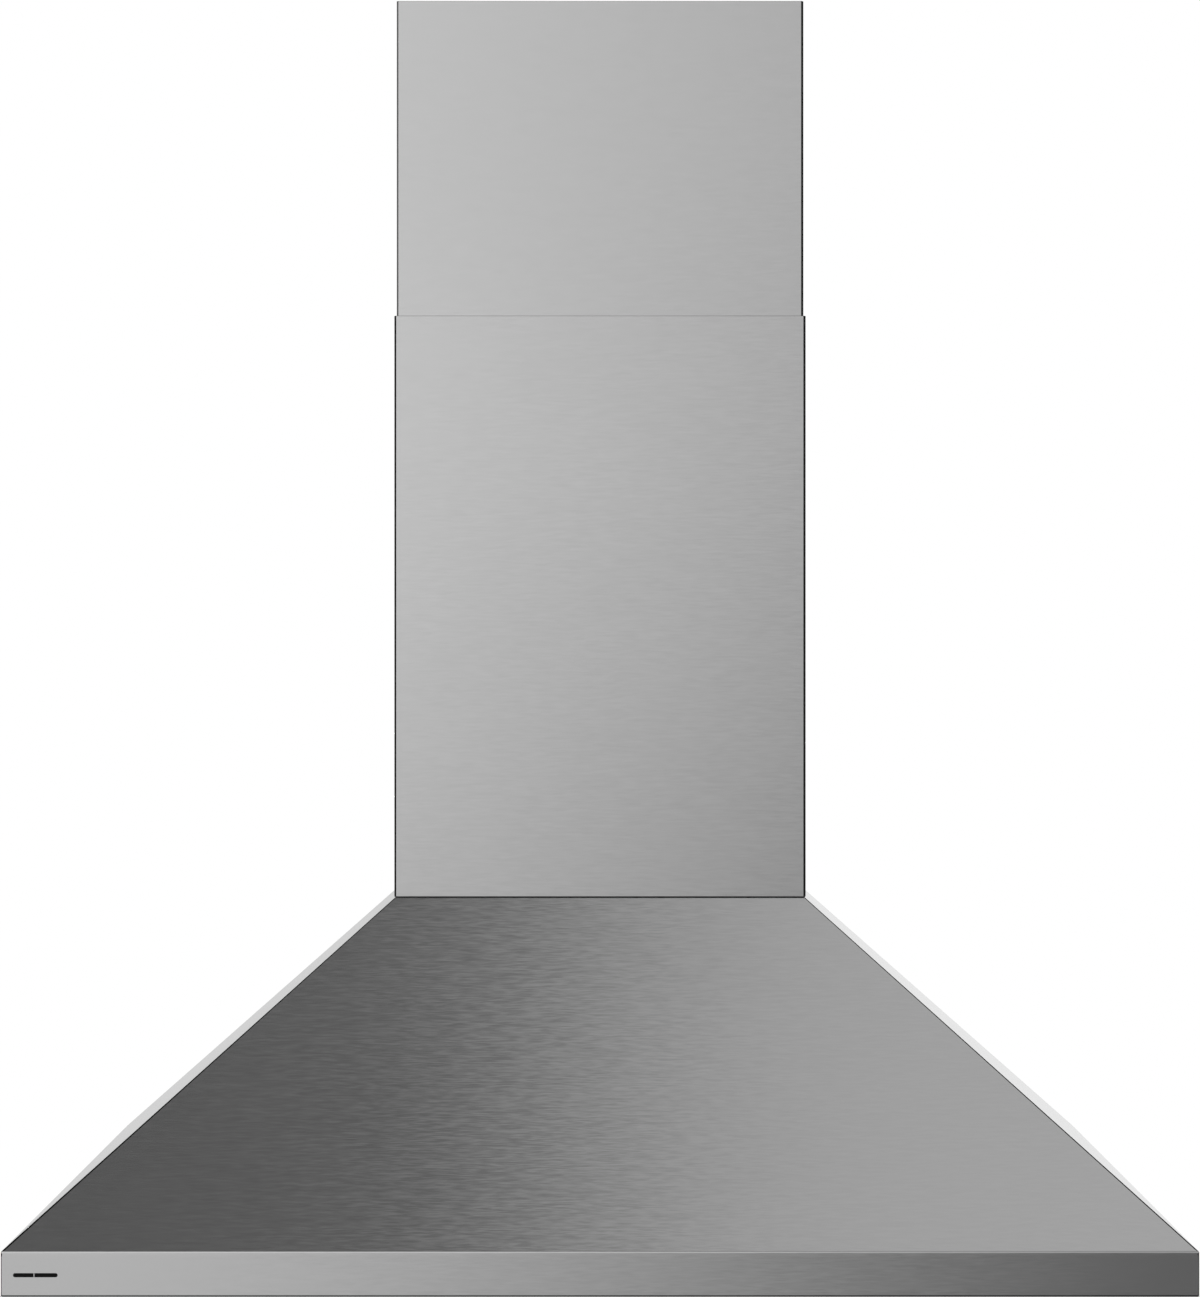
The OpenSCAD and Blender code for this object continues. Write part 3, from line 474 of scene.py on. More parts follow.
FINISHES = {
    "brushed_steel": brushed_steel("brushed_steel"),
    "galvanised_steel": galvanised_steel(),
    "filter_steel": brushed_steel("filter_steel", "xz"),
    "screw_steel": bright_steel("screw_steel", grey(0.46), grey(0.56)),
    "aluminium_cast": cast_aluminium(),
    "black_plastic": moulded_plastic("black_plastic", grey(0.012), grey(0.022)),
    "grey_plastic": moulded_plastic("grey_plastic", grey(0.09), grey(0.13)),
    "white_plastic": moulded_plastic("white_plastic", (0.66, 0.66, 0.63), (0.74, 0.74, 0.71)),
    "window_black": window_black(),
    "lamp_glass": lamp_glass(),
    "board_green": board_green(),
    "rubber": rubber(),
}
LEVEL_STEEL = brushed_steel("level_steel", "yz")
# Painted shade: near-black steel for folds, hems, seams and cut edges. It stands in for the dark lines that
# shade and dark reflections draw there, and its low specular tint keeps them dark at grazing angles
PAINTED_SHADE_STEEL = brushed_steel("painted_shade_steel", "z", 0.022, 0.034, (0.3, 0.4), 0.0, edge=0.1)
BRASS = bright_steel("brass", (0.50, 0.36, 0.16), (0.66, 0.50, 0.24))


# Tools of the bench

TINY = 0.01 * MM


def near(value, place):
    return abs(value - place) < TINY


def at_corner(p, low, high):
    """On one of the upright edges of the box between two corners."""
    return (near(p.x, low.x) or near(p.x, high.x)) and (near(p.y, low.y) or near(p.y, high.y))


def deselect():
    bpy.ops.object.select_all(action="DESELECT")


def hold(piece):
    """Makes the piece the only one selected, and the one that is worked on."""
    deselect()
    piece.select_set(True)
    bpy.context.view_layer.objects.active = piece


@contextmanager
def editing(piece, kind="FACE"):
    """Edit mode on one piece, with nothing selected at first."""
    hold(piece)
    bpy.ops.object.mode_set(mode="EDIT")
    bpy.ops.mesh.select_mode(type=kind)
    bpy.ops.mesh.select_all(action="DESELECT")
    yield
    bpy.ops.object.mode_set(mode="OBJECT")


def pick_faces(piece, test):
    """In edit mode, selects only the faces whose middle and normal pass the test."""
    bpy.ops.mesh.select_all(action="DESELECT")
    shape = bmesh.from_edit_mesh(piece.data)
    for face in shape.faces:
        face.select_set(test(face.calc_center_median(), face.normal))
    shape.select_flush_mode()
    bmesh.update_edit_mesh(piece.data)


def pick_edges(piece, test):
    """In edit mode, selects only the edges whose two ends pass the test."""
    bpy.ops.mesh.select_all(action="DESELECT")
    shape = bmesh.from_edit_mesh(piece.data)
    for edge in shape.edges:
        edge.select_set(all(test(corner.co) for corner in edge.verts))
    shape.select_flush_mode()
    bmesh.update_edit_mesh(piece.data)


def settle(name):
    """Names the piece just added and moves its place into its mesh."""
    piece = bpy.context.object
    piece.name = name
    bpy.ops.object.transform_apply(location=True, rotation=True, scale=True)
    return piece


def block(name, low, high):
    low, high = Vector(low), Vector(high)
    deselect()
    bpy.ops.mesh.primitive_cube_add(size=1, location=(low + high) / 2, scale=high - low)
    return settle(name)


def facing(axis):
    """The turn that lays the lathe's axis along another axis."""
    return {
        "z": Matrix.Identity(4),
        "x": Matrix.Rotation(math.radians(90), 4, "Y"),
        "-x": Matrix.Rotation(math.radians(-90), 4, "Y"),
        "y": Matrix.Rotation(math.radians(-90), 4, "X"),
        "-y": Matrix.Rotation(math.radians(90), 4, "X"),
        "-z": Matrix.Rotation(math.radians(180), 4, "X"),
    }[axis]


def turned(name, profile, place=(0, 0, 0), axis="z", sides=48):
    """A piece off the lathe: a circle drawn out and widened from point to point of a profile of radius and
    height, in millimetres. One that comes back to its first point makes a ring, any other has end faces."""
    ring = profile[0] == profile[-1]
    profile = [(radius * MM, height * MM) for radius, height in profile]
    radius, height = profile[0]
    deselect()
    bpy.ops.mesh.primitive_circle_add(
        vertices=sides, radius=radius, location=(0, 0, height), fill_type="NOTHING")
    piece = settle(name)
    with editing(piece, "EDGE"):
        bpy.ops.mesh.select_all(action="SELECT")
        for (radius, height), (next_radius, next_height) in zip(profile, profile[1:]):
            bpy.ops.mesh.extrude_edges_move(TRANSFORM_OT_translate={"value": (0, 0, next_height - height)})
            grow = next_radius / radius
            bpy.ops.transform.resize(value=(grow, grow, 1), center_override=(0, 0, next_height))
        bpy.ops.mesh.select_all(action="SELECT")
        if ring:
            bpy.ops.mesh.remove_doubles(threshold=0.001 * MM)
        else:
            bpy.ops.mesh.fill_holes(sides=0)
        bpy.ops.mesh.normals_make_consistent(inside=False)
    piece.data.transform(Matrix.Translation(place) @ facing(axis))
    return piece


def copied(piece, name, move=(0, 0, 0), turn=Matrix.Identity(4)):
    """A copy with its own mesh, turned about the origin and then moved."""
    twin = piece.copy()
    twin.data = piece.data.copy()
    twin.name = name
    bpy.context.scene.collection.objects.link(twin)
    twin.data.transform(Matrix.Translation(move) @ turn)
    return twin


def joined(name, pieces):
    """Several shapes as one piece."""
    hold(pieces[0])
    for piece in pieces[1:]:
        piece.select_set(True)
    bpy.ops.object.join()
    pieces[0].name = name
    return pieces[0]


def repeated(piece, name, spots):
    """Copies of one piece at these places, as one piece that takes its stead."""
    copies = [copied(piece, f"{name}_{i}", spot) for i, spot in enumerate(spots)]
    bpy.data.objects.remove(piece)
    return joined(name, copies)


def apply(piece, modifier):
    hold(piece)
    bpy.ops.object.modifier_apply(modifier=modifier.name)


def cut(piece, cutter):
    """Takes the cutter's shape out of the piece."""
    away = piece.modifiers.new("cut", "BOOLEAN")
    away.operation = "DIFFERENCE"
    away.solver = "EXACT"
    away.object = cutter
    apply(piece, away)
    bpy.data.objects.remove(cutter)
    return piece


def round_edges(piece, width, segments=2, limit=30, material=-1):
    """Rounds every edge sharper than the limit."""
    edges = piece.modifiers.new("edges", "BEVEL")
    edges.width = width
    edges.segments = segments
    edges.limit_method = "ANGLE"
    edges.angle_limit = math.radians(limit)
    edges.use_clamp_overlap = False
    edges.material = material
    apply(piece, edges)
    return piece


def smooth(piece, limit=40):
    """Smooth shading over the rounded edges, with the flat faces left flat."""
    hold(piece)
    bpy.ops.object.shade_smooth_by_angle(angle=math.radians(limit))
    level = piece.modifiers.new("level", "WEIGHTED_NORMAL")
    level.keep_sharp = True
    apply(piece, level)
    return piece


def pressed(node, name):
    """A CAD node's shape, merged to whole faces and ready for its folds."""
    piece = bpy.data.objects.new(name, nodes[node].data.copy())
    bpy.context.scene.collection.objects.link(piece)
    with editing(piece):
        bpy.ops.mesh.customdata_custom_splitnormals_clear()
        bpy.ops.mesh.select_all(action="SELECT")
        bpy.ops.mesh.remove_doubles(threshold=0.001 * MM)
        bpy.ops.mesh.dissolve_limited(angle_limit=math.radians(0.3))
    piece.data.materials.clear()
    return piece


def clear_band(piece, low, high):
    """Cuts a level band and clears the slanting edges from it, so that a fold along it keeps one width."""
    with editing(piece, "EDGE"):
        for z in (low, high):
            bpy.ops.mesh.select_all(action="SELECT")
            bpy.ops.mesh.bisect(plane_co=(0, 0, z), plane_no=(0, 0, 1))
        bpy.ops.mesh.select_all(action="DESELECT")
        shape = bmesh.from_edit_mesh(piece.data)
        for edge in shape.edges:
            ends = [corner.co.z for corner in edge.verts]
            within = all(low - TINY < z < high + TINY for z in ends)
            slanting = abs(ends[0] - ends[1]) > TINY
            edge.select_set(within and slanting and edge.is_manifold and edge.calc_face_angle() < 0.01)
        bpy.ops.mesh.dissolve_edges(use_verts=False)


def fold(piece, test, radius, segments=4, material=-1):
    """Rounds the edges whose two ends pass the test to the fold's radius."""
    with editing(piece, "EDGE"):
        pick_edges(piece, test)
        bpy.ops.mesh.bevel(offset=radius, segments=segments, affect="EDGES", material=material)
    return piece


def rounded_path(points, bend, steps=6):
    """The points of a line whose corners are bent to a radius."""
    path = [Vector(points[0])]
    for before, corner, after in zip(points, points[1:], points[2:]):
        corner = Vector(corner)
        back, on = (Vector(before) - corner).normalized(), (Vector(after) - corner).normalized()
        half = back.angle(on) / 2
        reach = bend / math.tan(half)
        middle = corner + (back + on).normalized() * bend / math.sin(half)
        start, end = corner + back * reach - middle, corner + on * reach - middle
        turn = math.pi - 2 * half
        for i in range(steps + 1):
            t = i / steps
            swung = start * math.sin((1 - t) * turn) + end * math.sin(t * turn)
            path.append(middle + swung / math.sin(turn))
    path.append(Vector(points[-1]))
    return path


def lead(name, path, radius):
    """A round lead along a path."""
    curve = bpy.data.curves.new(name, "CURVE")
    curve.dimensions = "3D"
    curve.bevel_depth = radius
    curve.bevel_resolution = 3
    curve.use_fill_caps = True
    line = curve.splines.new("POLY")
    line.points.add(len(path) - 1)
    for point, place in zip(line.points, path):
        point.co = (*place, 1)
    piece = bpy.data.objects.new(name, curve)
    bpy.context.scene.collection.objects.link(piece)
    hold(piece)
    bpy.ops.object.convert(target="MESH")
    return bpy.context.object


def dress(piece, node):
    """The piece stands for a CAD node, which is hidden: it rides on the node's body and, unless it has a
    finish already, takes the finish of the node's slot.
    """
    slot = parts[node]["material_slot"]
    if not piece.data.materials:
        piece.data.materials.append(FINISHES[slot])
    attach(piece, nodes[node]["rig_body"])
    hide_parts(node)


def added(piece, slot, material=None, limit=30, body="hood"):
    """A small piece that no CAD node stands for."""
    piece.data.materials.clear()
    piece.data.materials.append(material or FINISHES[slot])
    smooth(piece, limit)
    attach(piece, body)


def round_corners(node, name, edge):
    """A CAD box with its upright corners rounded, and its other edges a little."""
    low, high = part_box(node)
    box = pressed(node, name)
    fold(box, lambda p: at_corner(p, low, high), 3 * MM, 6)
    dress(smooth(round_edges(box, edge * MM)), node)


# Canopy and chimney

RIM_H = 34 * MM
SHEET = 1 * MM
NECK_X = 169.8 * MM
NECK_Y = -298.8 * MM
SEAM_EDGE = 0.7 * MM
LOWER_FOLD_R = 1.5 * MM


def on_seam(p):
    """On the outer edge where a side of the canopy meets its front, on the rim or on the slope."""
    up = max(0, (p.z - RIM_H) / (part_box("canopy_front_panel")[1].z - RIM_H))
    x = cad_high.x + up * (NECK_X - cad_high.x)
    y = cad_low.y + up * (NECK_Y - cad_low.y)
    return near(abs(p.x), x) and near(p.y, y)


def bend_canopy(node, reaches_rim):
    """A canopy panel with its rim bend rounded, its lower edge folded under and its seams closed. The lower
    fold, the seams and the cut edges carry painted shade in near-black steel.
    """
    piece = pressed(node, node.replace("panel", "sheet"))
    piece.data.materials.append(FINISHES["brushed_steel"])
    piece.data.materials.append(PAINTED_SHADE_STEEL)
    clear_band(piece, RIM_H - 3 * FOLD_R, RIM_H)
    fold(piece, lambda p: near(p.z, RIM_H) and reaches_rim(p), FOLD_R)
    clear_band(piece, 0, 3 * LOWER_FOLD_R)
    # Material 1 here and below is painted shade: the lower fold, the seam edges and the cut edges are painted
    # near-black
    fold(piece, lambda p: near(p.z, 0) and reaches_rim(p), LOWER_FOLD_R, material=1)
    for side in (-1, 1):
        fold(piece, lambda p: p.x * side > 0 and on_seam(p), SEAM_EDGE, 2, material=1)
    round_edges(piece, CUT_EDGE, material=1)
    low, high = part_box(node)
    for corner in piece.data.vertices:
        corner.co = [min(max(value, least), most) for value, least, most in zip(corner.co, low, high)]
    dress(smooth(piece), node)


def make_canopy():
    rim_x, rim_y = cad_high.x, cad_low.y
    bend_canopy("canopy_front_panel", lambda p: near(p.y, rim_y))
    bend_canopy("canopy_left_panel", lambda p: near(p.x, -rim_x))
    bend_canopy("canopy_right_panel", lambda p: near(p.x, rim_x))


def bend_cover(node, hem, left=(-0.995, -0.12)):
    """A chimney cover with a hem of this radius along its foot. Its hem, its cut edges and the folds that
    face these ways are painted near-black as painted shade.
    """
    right = (0.05, 0.995)
    piece = pressed(node, node.replace("cover", "shell"))
    low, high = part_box(node)
    piece.data.materials.append(FINISHES["brushed_steel"])
    piece.data.materials.append(PAINTED_SHADE_STEEL)

    def outside(p):
        return abs(p.x) > high.x - 0.99 * SHEET or p.y < low.y + 0.99 * SHEET

    clear_band(piece, low.z, low.z + 3 * FOLD_R)
    fold(piece, lambda p: near(p.z, low.z) and outside(p), hem, material=1)
    round_edges(piece, CUT_EDGE, material=1)
    # Painted shade: upright fold faces turned these ways take the near-black steel
    for face in piece.data.polygons:
        across, up = face.normal.x, face.normal.z
        if abs(up) < 0.1 and (left[0] < across < left[1] or right[0] < across < right[1]):
            face.material_index = 1
    dress(smooth(piece), node)


def make_sheets():
    """The plain folded sheets, with the round that the press leaves on each edge."""
    edges = {
        "canopy_back_panel": 0.25,
        "top_frame": 0.3,
        "upper_wall_bracket": 0.3,
        "blower_brackets": 0.4,
        "scroll_wall": 0.25,
        "scroll_left_side": 0.2,
        "scroll_right_side": 0.2,
        "motor_mount": 0.5,
        "capacitor_clip": 0.2,
    }
    for node, width in edges.items():
        piece = pressed(node, node + "_folded")
        dress(smooth(round_edges(piece, width * MM)), node)


def make_liner():
    piece = pressed("underside_liner", "underside_pan")
    piece.data.materials.append(LEVEL_STEEL)
    piece.data.materials.append(PAINTED_SHADE_STEEL)
    # Painted shade: the liner's rounded cut edges are painted near-black
    dress(smooth(round_edges(piece, CUT_EDGE, material=1)), "underside_liner")


make_canopy()
bend_cover("lower_chimney_cover", 0.6 * MM)
bend_cover("upper_chimney_cover", 0.3 * MM, (-0.8, -0.35))
make_sheets()
make_liner()

# Window strip


def make_windows():
    strip = pressed("window_strip", "window_bars")
    dress(smooth(round_edges(strip, 0.15 * MM)), "window_strip")
    housing = pressed("window_housing", "window_case")
    with editing(housing):
        pick_faces(housing, lambda middle, normal: normal.y > 0.9)
        bpy.ops.mesh.inset(thickness=1.2 * MM, depth=0)
        bpy.ops.mesh.extrude_region_move(TRANSFORM_OT_translate={"value": (0, -1 * MM, 0)})
    dress(smooth(round_edges(housing, 0.4 * MM)), "window_housing")


# Lamps

LAMP_R = 33.7 * MM
RECESS = 9 * MM


def make_lamps():
    low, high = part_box("lamp_bezels")
    x, y = high.x - LAMP_R, (low.y + high.y) / 2
    bezel = turned("lamp_bezel_right", [
        (25.7, 0), (25.7, -0.6), (26.2, -1.5), (27.2, -2), (30.1, -2), (30.4, -1.7), (30.7, -1.7), (31, -2),
        (32, -2), (33, -1.7), (33.55, -1.1), (33.7, -0.3), (33.6, 0), (29.7, 0), (29.7, 5.6), (29.3, 6),
        (28.9, 6), (28.5, 5.6), (28.5, 0), (25.7, 0)], (x, y, RECESS), sides=96)
    ridges = [(r, -1.5 + 0.2 * (r % 2)) for r in range(2, 25)]
    lens = turned("lamp_lens_right", [
        *ridges, (25.1, -1.4), (25.4, -1.1), (25.4, 0), (28, 0), (28.2, 0.2), (28.2, 1.3), (28, 1.5),
        (2, 1.5)], (x, y, RECESS), sides=72)
    low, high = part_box("lamp_bodies")
    foot, head = (low.z - RECESS) / MM, (high.z - RECESS) / MM
    core, fin = 24, (high.y - low.y) / 2 / MM
    profile = [(core - 1, foot), (core, foot + 0.5)]
    for start in (6, 11, 16, 21):
        profile += [(core, start), (fin - 0.4, start), (fin, start + 0.5)]
        profile += [(fin, start + 2), (fin - 0.4, start + 2.5), (core, start + 2.5)]
    profile += [(core - 1, head), (9, head), (8, head - 0.8)]
    body = turned("lamp_body_right", profile, (x, y, RECESS), sides=72)
    notches = []
    for i in range(8):
        notch = block(f"notch_{i}", Vector((core + 1.5, -1.4, 5)) * MM, Vector((fin + 2, 1.4, head + 2)) * MM)
        turn = Matrix.Rotation(math.radians(22.5 + 45 * i), 4, "Z")
        notch.data.transform(Matrix.Translation((x, y, RECESS)) @ turn)
        notches.append(notch)
    cut(body, joined("notches", notches))
    looks = ((bezel, "lamp_bezels", 30), (lens, "lamp_lenses", 20), (body, "lamp_bodies", 30))
    for piece, node, limit in looks:
        smooth(piece, limit)
        dress(copied(piece, piece.name.replace("right", "left"), (-2 * x, 0, 0)), node)
        dress(piece, node)


# Controls

DRIVER_EAR = 8 * MM


def make_button(number):
    """A push button from its flange: the cap is drawn down and dished, and the stem drawn up."""
    node = f"button_{number}"
    low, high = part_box(node)
    x, y = (low.x + high.x) / 2, (low.y + high.y) / 2
    flange_low, flange_high = RECESS + 0.3 * MM, RECESS + 1.5 * MM
    cap_x, cap_y = (high.x - low.x) / 2 - 2 * MM, (high.y - low.y) / 2 - 2 * MM

    def on_cap_corner(p):
        return near(abs(p.x - x), cap_x) and near(abs(p.y - y), cap_y) and p.z < flange_low

    cap = block(f"push_button_{number}", (low.x, low.y, flange_low), (high.x, high.y, flange_high))
    with editing(cap):
        pick_faces(cap, lambda middle, normal: normal.z < -0.9)
        bpy.ops.mesh.inset(thickness=2 * MM, depth=0)
        bpy.ops.mesh.extrude_region_move(TRANSFORM_OT_translate={"value": (0, 0, low.z - flange_low)})
        bpy.ops.mesh.inset(thickness=1.1 * MM, depth=-0.35 * MM)
        pick_faces(cap, lambda middle, normal: normal.z > 0.9 and near(middle.z, flange_high))
        bpy.ops.mesh.inset(thickness=4 * MM, depth=0)
        bpy.ops.transform.resize(value=(0.4, 1, 1), center_override=(x, y, flange_high))
        bpy.ops.mesh.extrude_region_move(TRANSFORM_OT_translate={"value": (0, 0, high.z - flange_high)})
        bpy.ops.mesh.select_mode(type="EDGE")
        pick_edges(cap, on_cap_corner)
        bpy.ops.mesh.bevel(offset=1 * MM, segments=4, affect="EDGES")
    smooth(round_edges(cap, 0.2 * MM))
    foot = (x, y, low.z + 0.35 * MM)
    mark = turned(f"button_mark_{number}", [(0.5, 0), (0.45, -0.15), (0.2, -0.25)], foot, sides=16)
    dress(cap, node)
    added(mark, "white_plastic", limit=40, body=node)


def make_control_box():
    low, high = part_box("control_box")
    ribs = [pressed("control_box", "control_case")]
    for i in range(1, 8):
        x = low.x + (high.x - low.x) * i / 8
        start = (x - 0.6 * MM, low.y + 2 * MM, high.z - 0.2 * MM)
        ribs.append(block(f"case_rib_{i}", start, (x + 0.6 * MM, high.y - 2 * MM, high.z + 0.6 * MM)))
    dress(smooth(round_edges(joined("control_case", ribs), 0.3 * MM)), "control_box")


def make_board():
    """The board with its switches below, and a chip, sockets and small parts above."""
    low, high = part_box("control_board")
    board_low = high.z - 1.6 * MM
    board = block("control_circuit", (low.x, low.y, board_low), high)
    dress(smooth(round_edges(board, 0.1 * MM)), "control_board")
    y = (low.y + high.y) / 2
    fitted = []
    for number in range(1, 6):
        button_low, button_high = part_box(f"button_{number}")
        x = (button_low.x + button_high.x) / 2
        foot = low.z + 0.9 * MM
        base = block("switch_base", (x - 3 * MM, y - 3 * MM, foot), (x + 3 * MM, y + 3 * MM, board_low))
        place = (x, y, low.z + 0.95 * MM)
        tip = turned("switch_tip", [(1.7, 0), (1.7, 0.8), (1.6, 0.95)], place, "-z", 24)
        fitted += [round_edges(base, 0.2 * MM), tip]
    # In millimetres: place along the board, width, depth and height
    chips = [(-62, 12, 8, 8), (-38, 5, 5, 2), (-20, 14, 10, 1.6), (6, 5, 9, 5), (22, 3, 6, 1), (30, 3, 6, 1),
             (44, 8, 8, 6), (62, 10, 7, 8)]
    for x, wide, deep, tall in chips:
        middle = Vector((x * MM, y, high.z))
        half = Vector((wide / 2, deep / 2, 0)) * MM
        chip = block("chip", middle - half, middle + half + Vector((0, 0, tall * MM)))
        fitted.append(round_edges(chip, 0.25 * MM))
    added(joined("board_parts", fitted), "black_plastic", limit=40)


def make_driver():
    """The lamp driver: a case with a lid seam, cooling slots and two slotted ears."""
    low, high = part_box("lamp_driver")
    case = block("driver_case", (low.x + DRIVER_EAR, low.y, low.z), (high.x - DRIVER_EAR, high.y, high.z))
    round_edges(case, 1.5 * MM, 4)
    grooves = []
    for i in range(9):
        start = Vector((low.x + DRIVER_EAR + (18 + 9 * i) * MM, low.y + 8 * MM, high.z - 1 * MM))
        grooves.append(block(f"groove_{i}", start, (start.x + 4 * MM, high.y - 8 * MM, high.z + 1 * MM)))
    seam_low, seam_high = high.z - 5 * MM, high.z - 4.4 * MM
    for y, out, deep in ((low.y, 1, 0.5), (high.y, 0.5, 1)):
        grooves.append(block("seam", (low.x, y - out * MM, seam_low), (high.x, y + deep * MM, seam_high)))
    cut(case, joined("grooves", grooves))
    start = Vector((low.x, low.y + DRIVER_EAR, low.z))
    end = Vector((high.x, high.y - DRIVER_EAR, low.z + 2 * MM))
    ears = block("driver_ears", start, end)
    fold(ears, lambda p: at_corner(p, start, end), 3 * MM, 5)
    y = (low.y + high.y) / 2
    slots = [turned("ear_slot", [(2, -1), (2, 3)], (x, y, low.z), sides=24)
             for x in (low.x + 3.8 * MM, high.x - 3.8 * MM)]
    cut(ears, joined("ear_slots", slots))
    round_edges(ears, 0.25 * MM)
    dress(smooth(joined("driver_case", [case, ears])), "lamp_driver")


def make_lamp_leads():
    """Three flat twin leads, each of two cores side by side."""
    low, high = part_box("lamp_leads")
    y, z = (low.y + high.y) / 2, (low.z + high.z) / 2
    box_low, box_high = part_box("control_box")
    driver_low, driver_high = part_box("lamp_driver")
    runs = ((low.x, box_low.x), (box_high.x, driver_low.x + DRIVER_EAR), (driver_high.x - DRIVER_EAR, high.x))
    for number, (start, end) in enumerate(runs, 1):
        cores = [lead("core", [(start, core_y, z), (end, core_y, z)], 1.05 * MM)
                 for core_y in (y - 1 * MM, y + 1 * MM)]
        dress(smooth(joined(f"lamp_lead_{number}", cores)), "lamp_leads")


make_windows()
make_lamps()
round_corners("control_fascia", "control_panel", 0.35)
for number in range(1, 6):
    make_button(number)
make_control_box()
make_board()
make_driver()
make_lamp_leads()

# Filters

HOOK_OUT = 9.5 * MM


def make_filter(side):
    """A filter's frame with round corners and rivets, its baffles and its latch."""
    name = f"filter_{side}"
    low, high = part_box(name + "_frame")
    back = Vector((high.x, high.y - HOOK_OUT, 0))
    surround = pressed(name + "_frame", name + "_surround")
    fold(surround, lambda p: at_corner(p, low, back), 1.5 * MM, 4)
    round_edges(surround, 0.2 * MM)
    rivets = []
    for x in (low.x + 6 * MM, high.x - 6 * MM):
        for y in (low.y + 16 * MM, (low.y + back.y) / 2, back.y - 6 * MM):
            rivets.append(turned("rivet", [(2.2, 0), (2.1, -0.35), (1.4, -0.6)], (x, y, low.z), sides=20))
    dress(smooth(joined(name + "_surround", [surround, *rivets])), name + "_frame")
    for part, look, edge in (("_baffles", "_channels", 0.15), ("_latch", "_catch", 0.25)):
        dress(smooth(round_edges(pressed(name + part, name + look), edge * MM)), name + part)


for side in ("left", "centre", "right"):
    make_filter(side)

# Screws


def cross_head(screw, top, reach, depth):
    """Cuts a cross recess into the head of an upright screw, at this height in millimetres."""
    narrow = reach / 5
    for x, y in ((reach, narrow), (narrow, reach)):
        low, high = (-x * MM, -y * MM, (top - depth) * MM), (x * MM, y * MM, (top + depth) * MM)
        cut(screw, block("slot", low, high))
    return screw


def sheet_screw(name):
    """A pan-head screw at the origin, its head's seat at z = 0 and its shank below."""
    threads = [(1.7 if i % 2 else 2, -5.2 + 0.5 * i) for i in range(9)]
    head = [(2, 0), (4, 0), (4, 0.5), (3.7, 1.2), (2.9, 1.75), (1.6, 2)]
    return cross_head(turned(name, [(1, -6), *threads, *head], sides=32), 2, 2, 0.8)


def make_side_screws(node, spots):
    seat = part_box(node)[1].x - 2 * MM
    screw = sheet_screw(node + "_pan")
    screws = []
    for side, axis in ((1, "x"), (-1, "-x")):
        for y, z in spots:
            screws.append(copied(screw, f"{node}_{len(screws)}", (side * seat, y * MM, z * MM), facing(axis)))
    bpy.data.objects.remove(screw)
    dress(smooth(joined(node + "_pan", screws), 30), node)


def make_hangers():
    """Four screws with a domed cross head above and a hexagon nut below, through waisted rubber mounts."""
    mount_low, mount_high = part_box("rubber_mounts")
    radius = 8 * MM
    spots = [(side * (mount_high.x - radius), y, 0)
             for side in (-1, 1) for y in (mount_low.y + radius, mount_high.y - radius)]
    low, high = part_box("blower_screws")
    foot, top = low.z / MM, high.z / MM
    shank = turned("hanger_screw", [
        (1.9, foot), (2.5, foot + 0.6), (2.5, top - 3), (4.5, top - 3), (4.5, top - 2), (4.1, top - 1),
        (3.1, top - 0.3), (1.8, top)], sides=32)
    cross_head(shank, top, 2.2, 1.2)
    nut = turned("nut", [(r, foot + h) for r, h in ((4, 2), (4.6, 2.4), (4.6, 5.6), (4, 6))], sides=6)
    screws = repeated(joined("hanger_screw", [shank, nut]), "hanger_screws", spots)
    dress(smooth(screws, 30), "blower_screws")
    foot = mount_low.z / MM
    mount = turned("rubber_mount", [(r, foot + h) for r, h in (
        (2.6, 0), (7.5, 0), (8, 0.5), (8, 2), (7.6, 2.7), (6.9, 3.3), (6.5, 4), (6.9, 4.7), (7.6, 5.3),
        (8, 6), (8, 7.5), (7.5, 8), (2.6, 8), (2.6, 0))], sides=40)
    dress(smooth(repeated(mount, "rubber_buffers", spots)), "rubber_mounts")


# Blower

FAN_Y = -210.5 * MM
FAN_Z = 165 * MM
BLADES = 30
BLADE_TILT = math.radians(35)
BLADE_CHORD = 16 * MM
BLADE_BOW = 2 * MM


def around_fan(i, count):
    return Matrix.Rotation(math.radians(i * 360 / count), 4, "X")


def at_fan(piece):
    piece.data.transform(Matrix.Translation((0, FAN_Y, FAN_Z)))
    return piece


def make_blade(half):
    """One blade: its inner edge spun into a shallow arc and given its thickness."""
    start = Vector((0, 69.6 * MM, -5.2 * MM))
    radius = (BLADE_CHORD * BLADE_CHORD / 4 + BLADE_BOW * BLADE_BOW) / (2 * BLADE_BOW)
    along = Vector((0, math.cos(BLADE_TILT), math.sin(BLADE_TILT)))
    inward = Vector((0, math.sin(BLADE_TILT), -math.cos(BLADE_TILT)))
    centre = start + along * BLADE_CHORD / 2 + inward * (radius - BLADE_BOW)
    deselect()
    bpy.ops.mesh.primitive_plane_add(size=2)
    blade = settle("blade")
    with editing(blade, "VERT"):
        shape = bmesh.from_edit_mesh(blade.data)
        for corner in shape.verts:
            corner.select_set(corner.co.y > 0)
        bmesh.update_edit_mesh(blade.data)
        bpy.ops.mesh.delete(type="VERT")
        bpy.ops.mesh.select_all(action="SELECT")
        bpy.ops.transform.resize(value=(half, 1, 1), center_override=(0, 0, 0))
        bpy.ops.transform.translate(value=start - Vector((0, -1, 0)))
        sweep = 2 * math.asin(BLADE_CHORD / 2 / radius)
        bpy.ops.mesh.spin(steps=6, angle=sweep, center=centre, axis=(1, 0, 0))
        bpy.ops.mesh.select_all(action="SELECT")
        bpy.ops.mesh.normals_make_consistent(inside=False)
    wall = blade.modifiers.new("wall", "SOLIDIFY")
    wall.thickness = 0.9 * MM
    wall.offset = 0
    apply(blade, wall)
    return blade


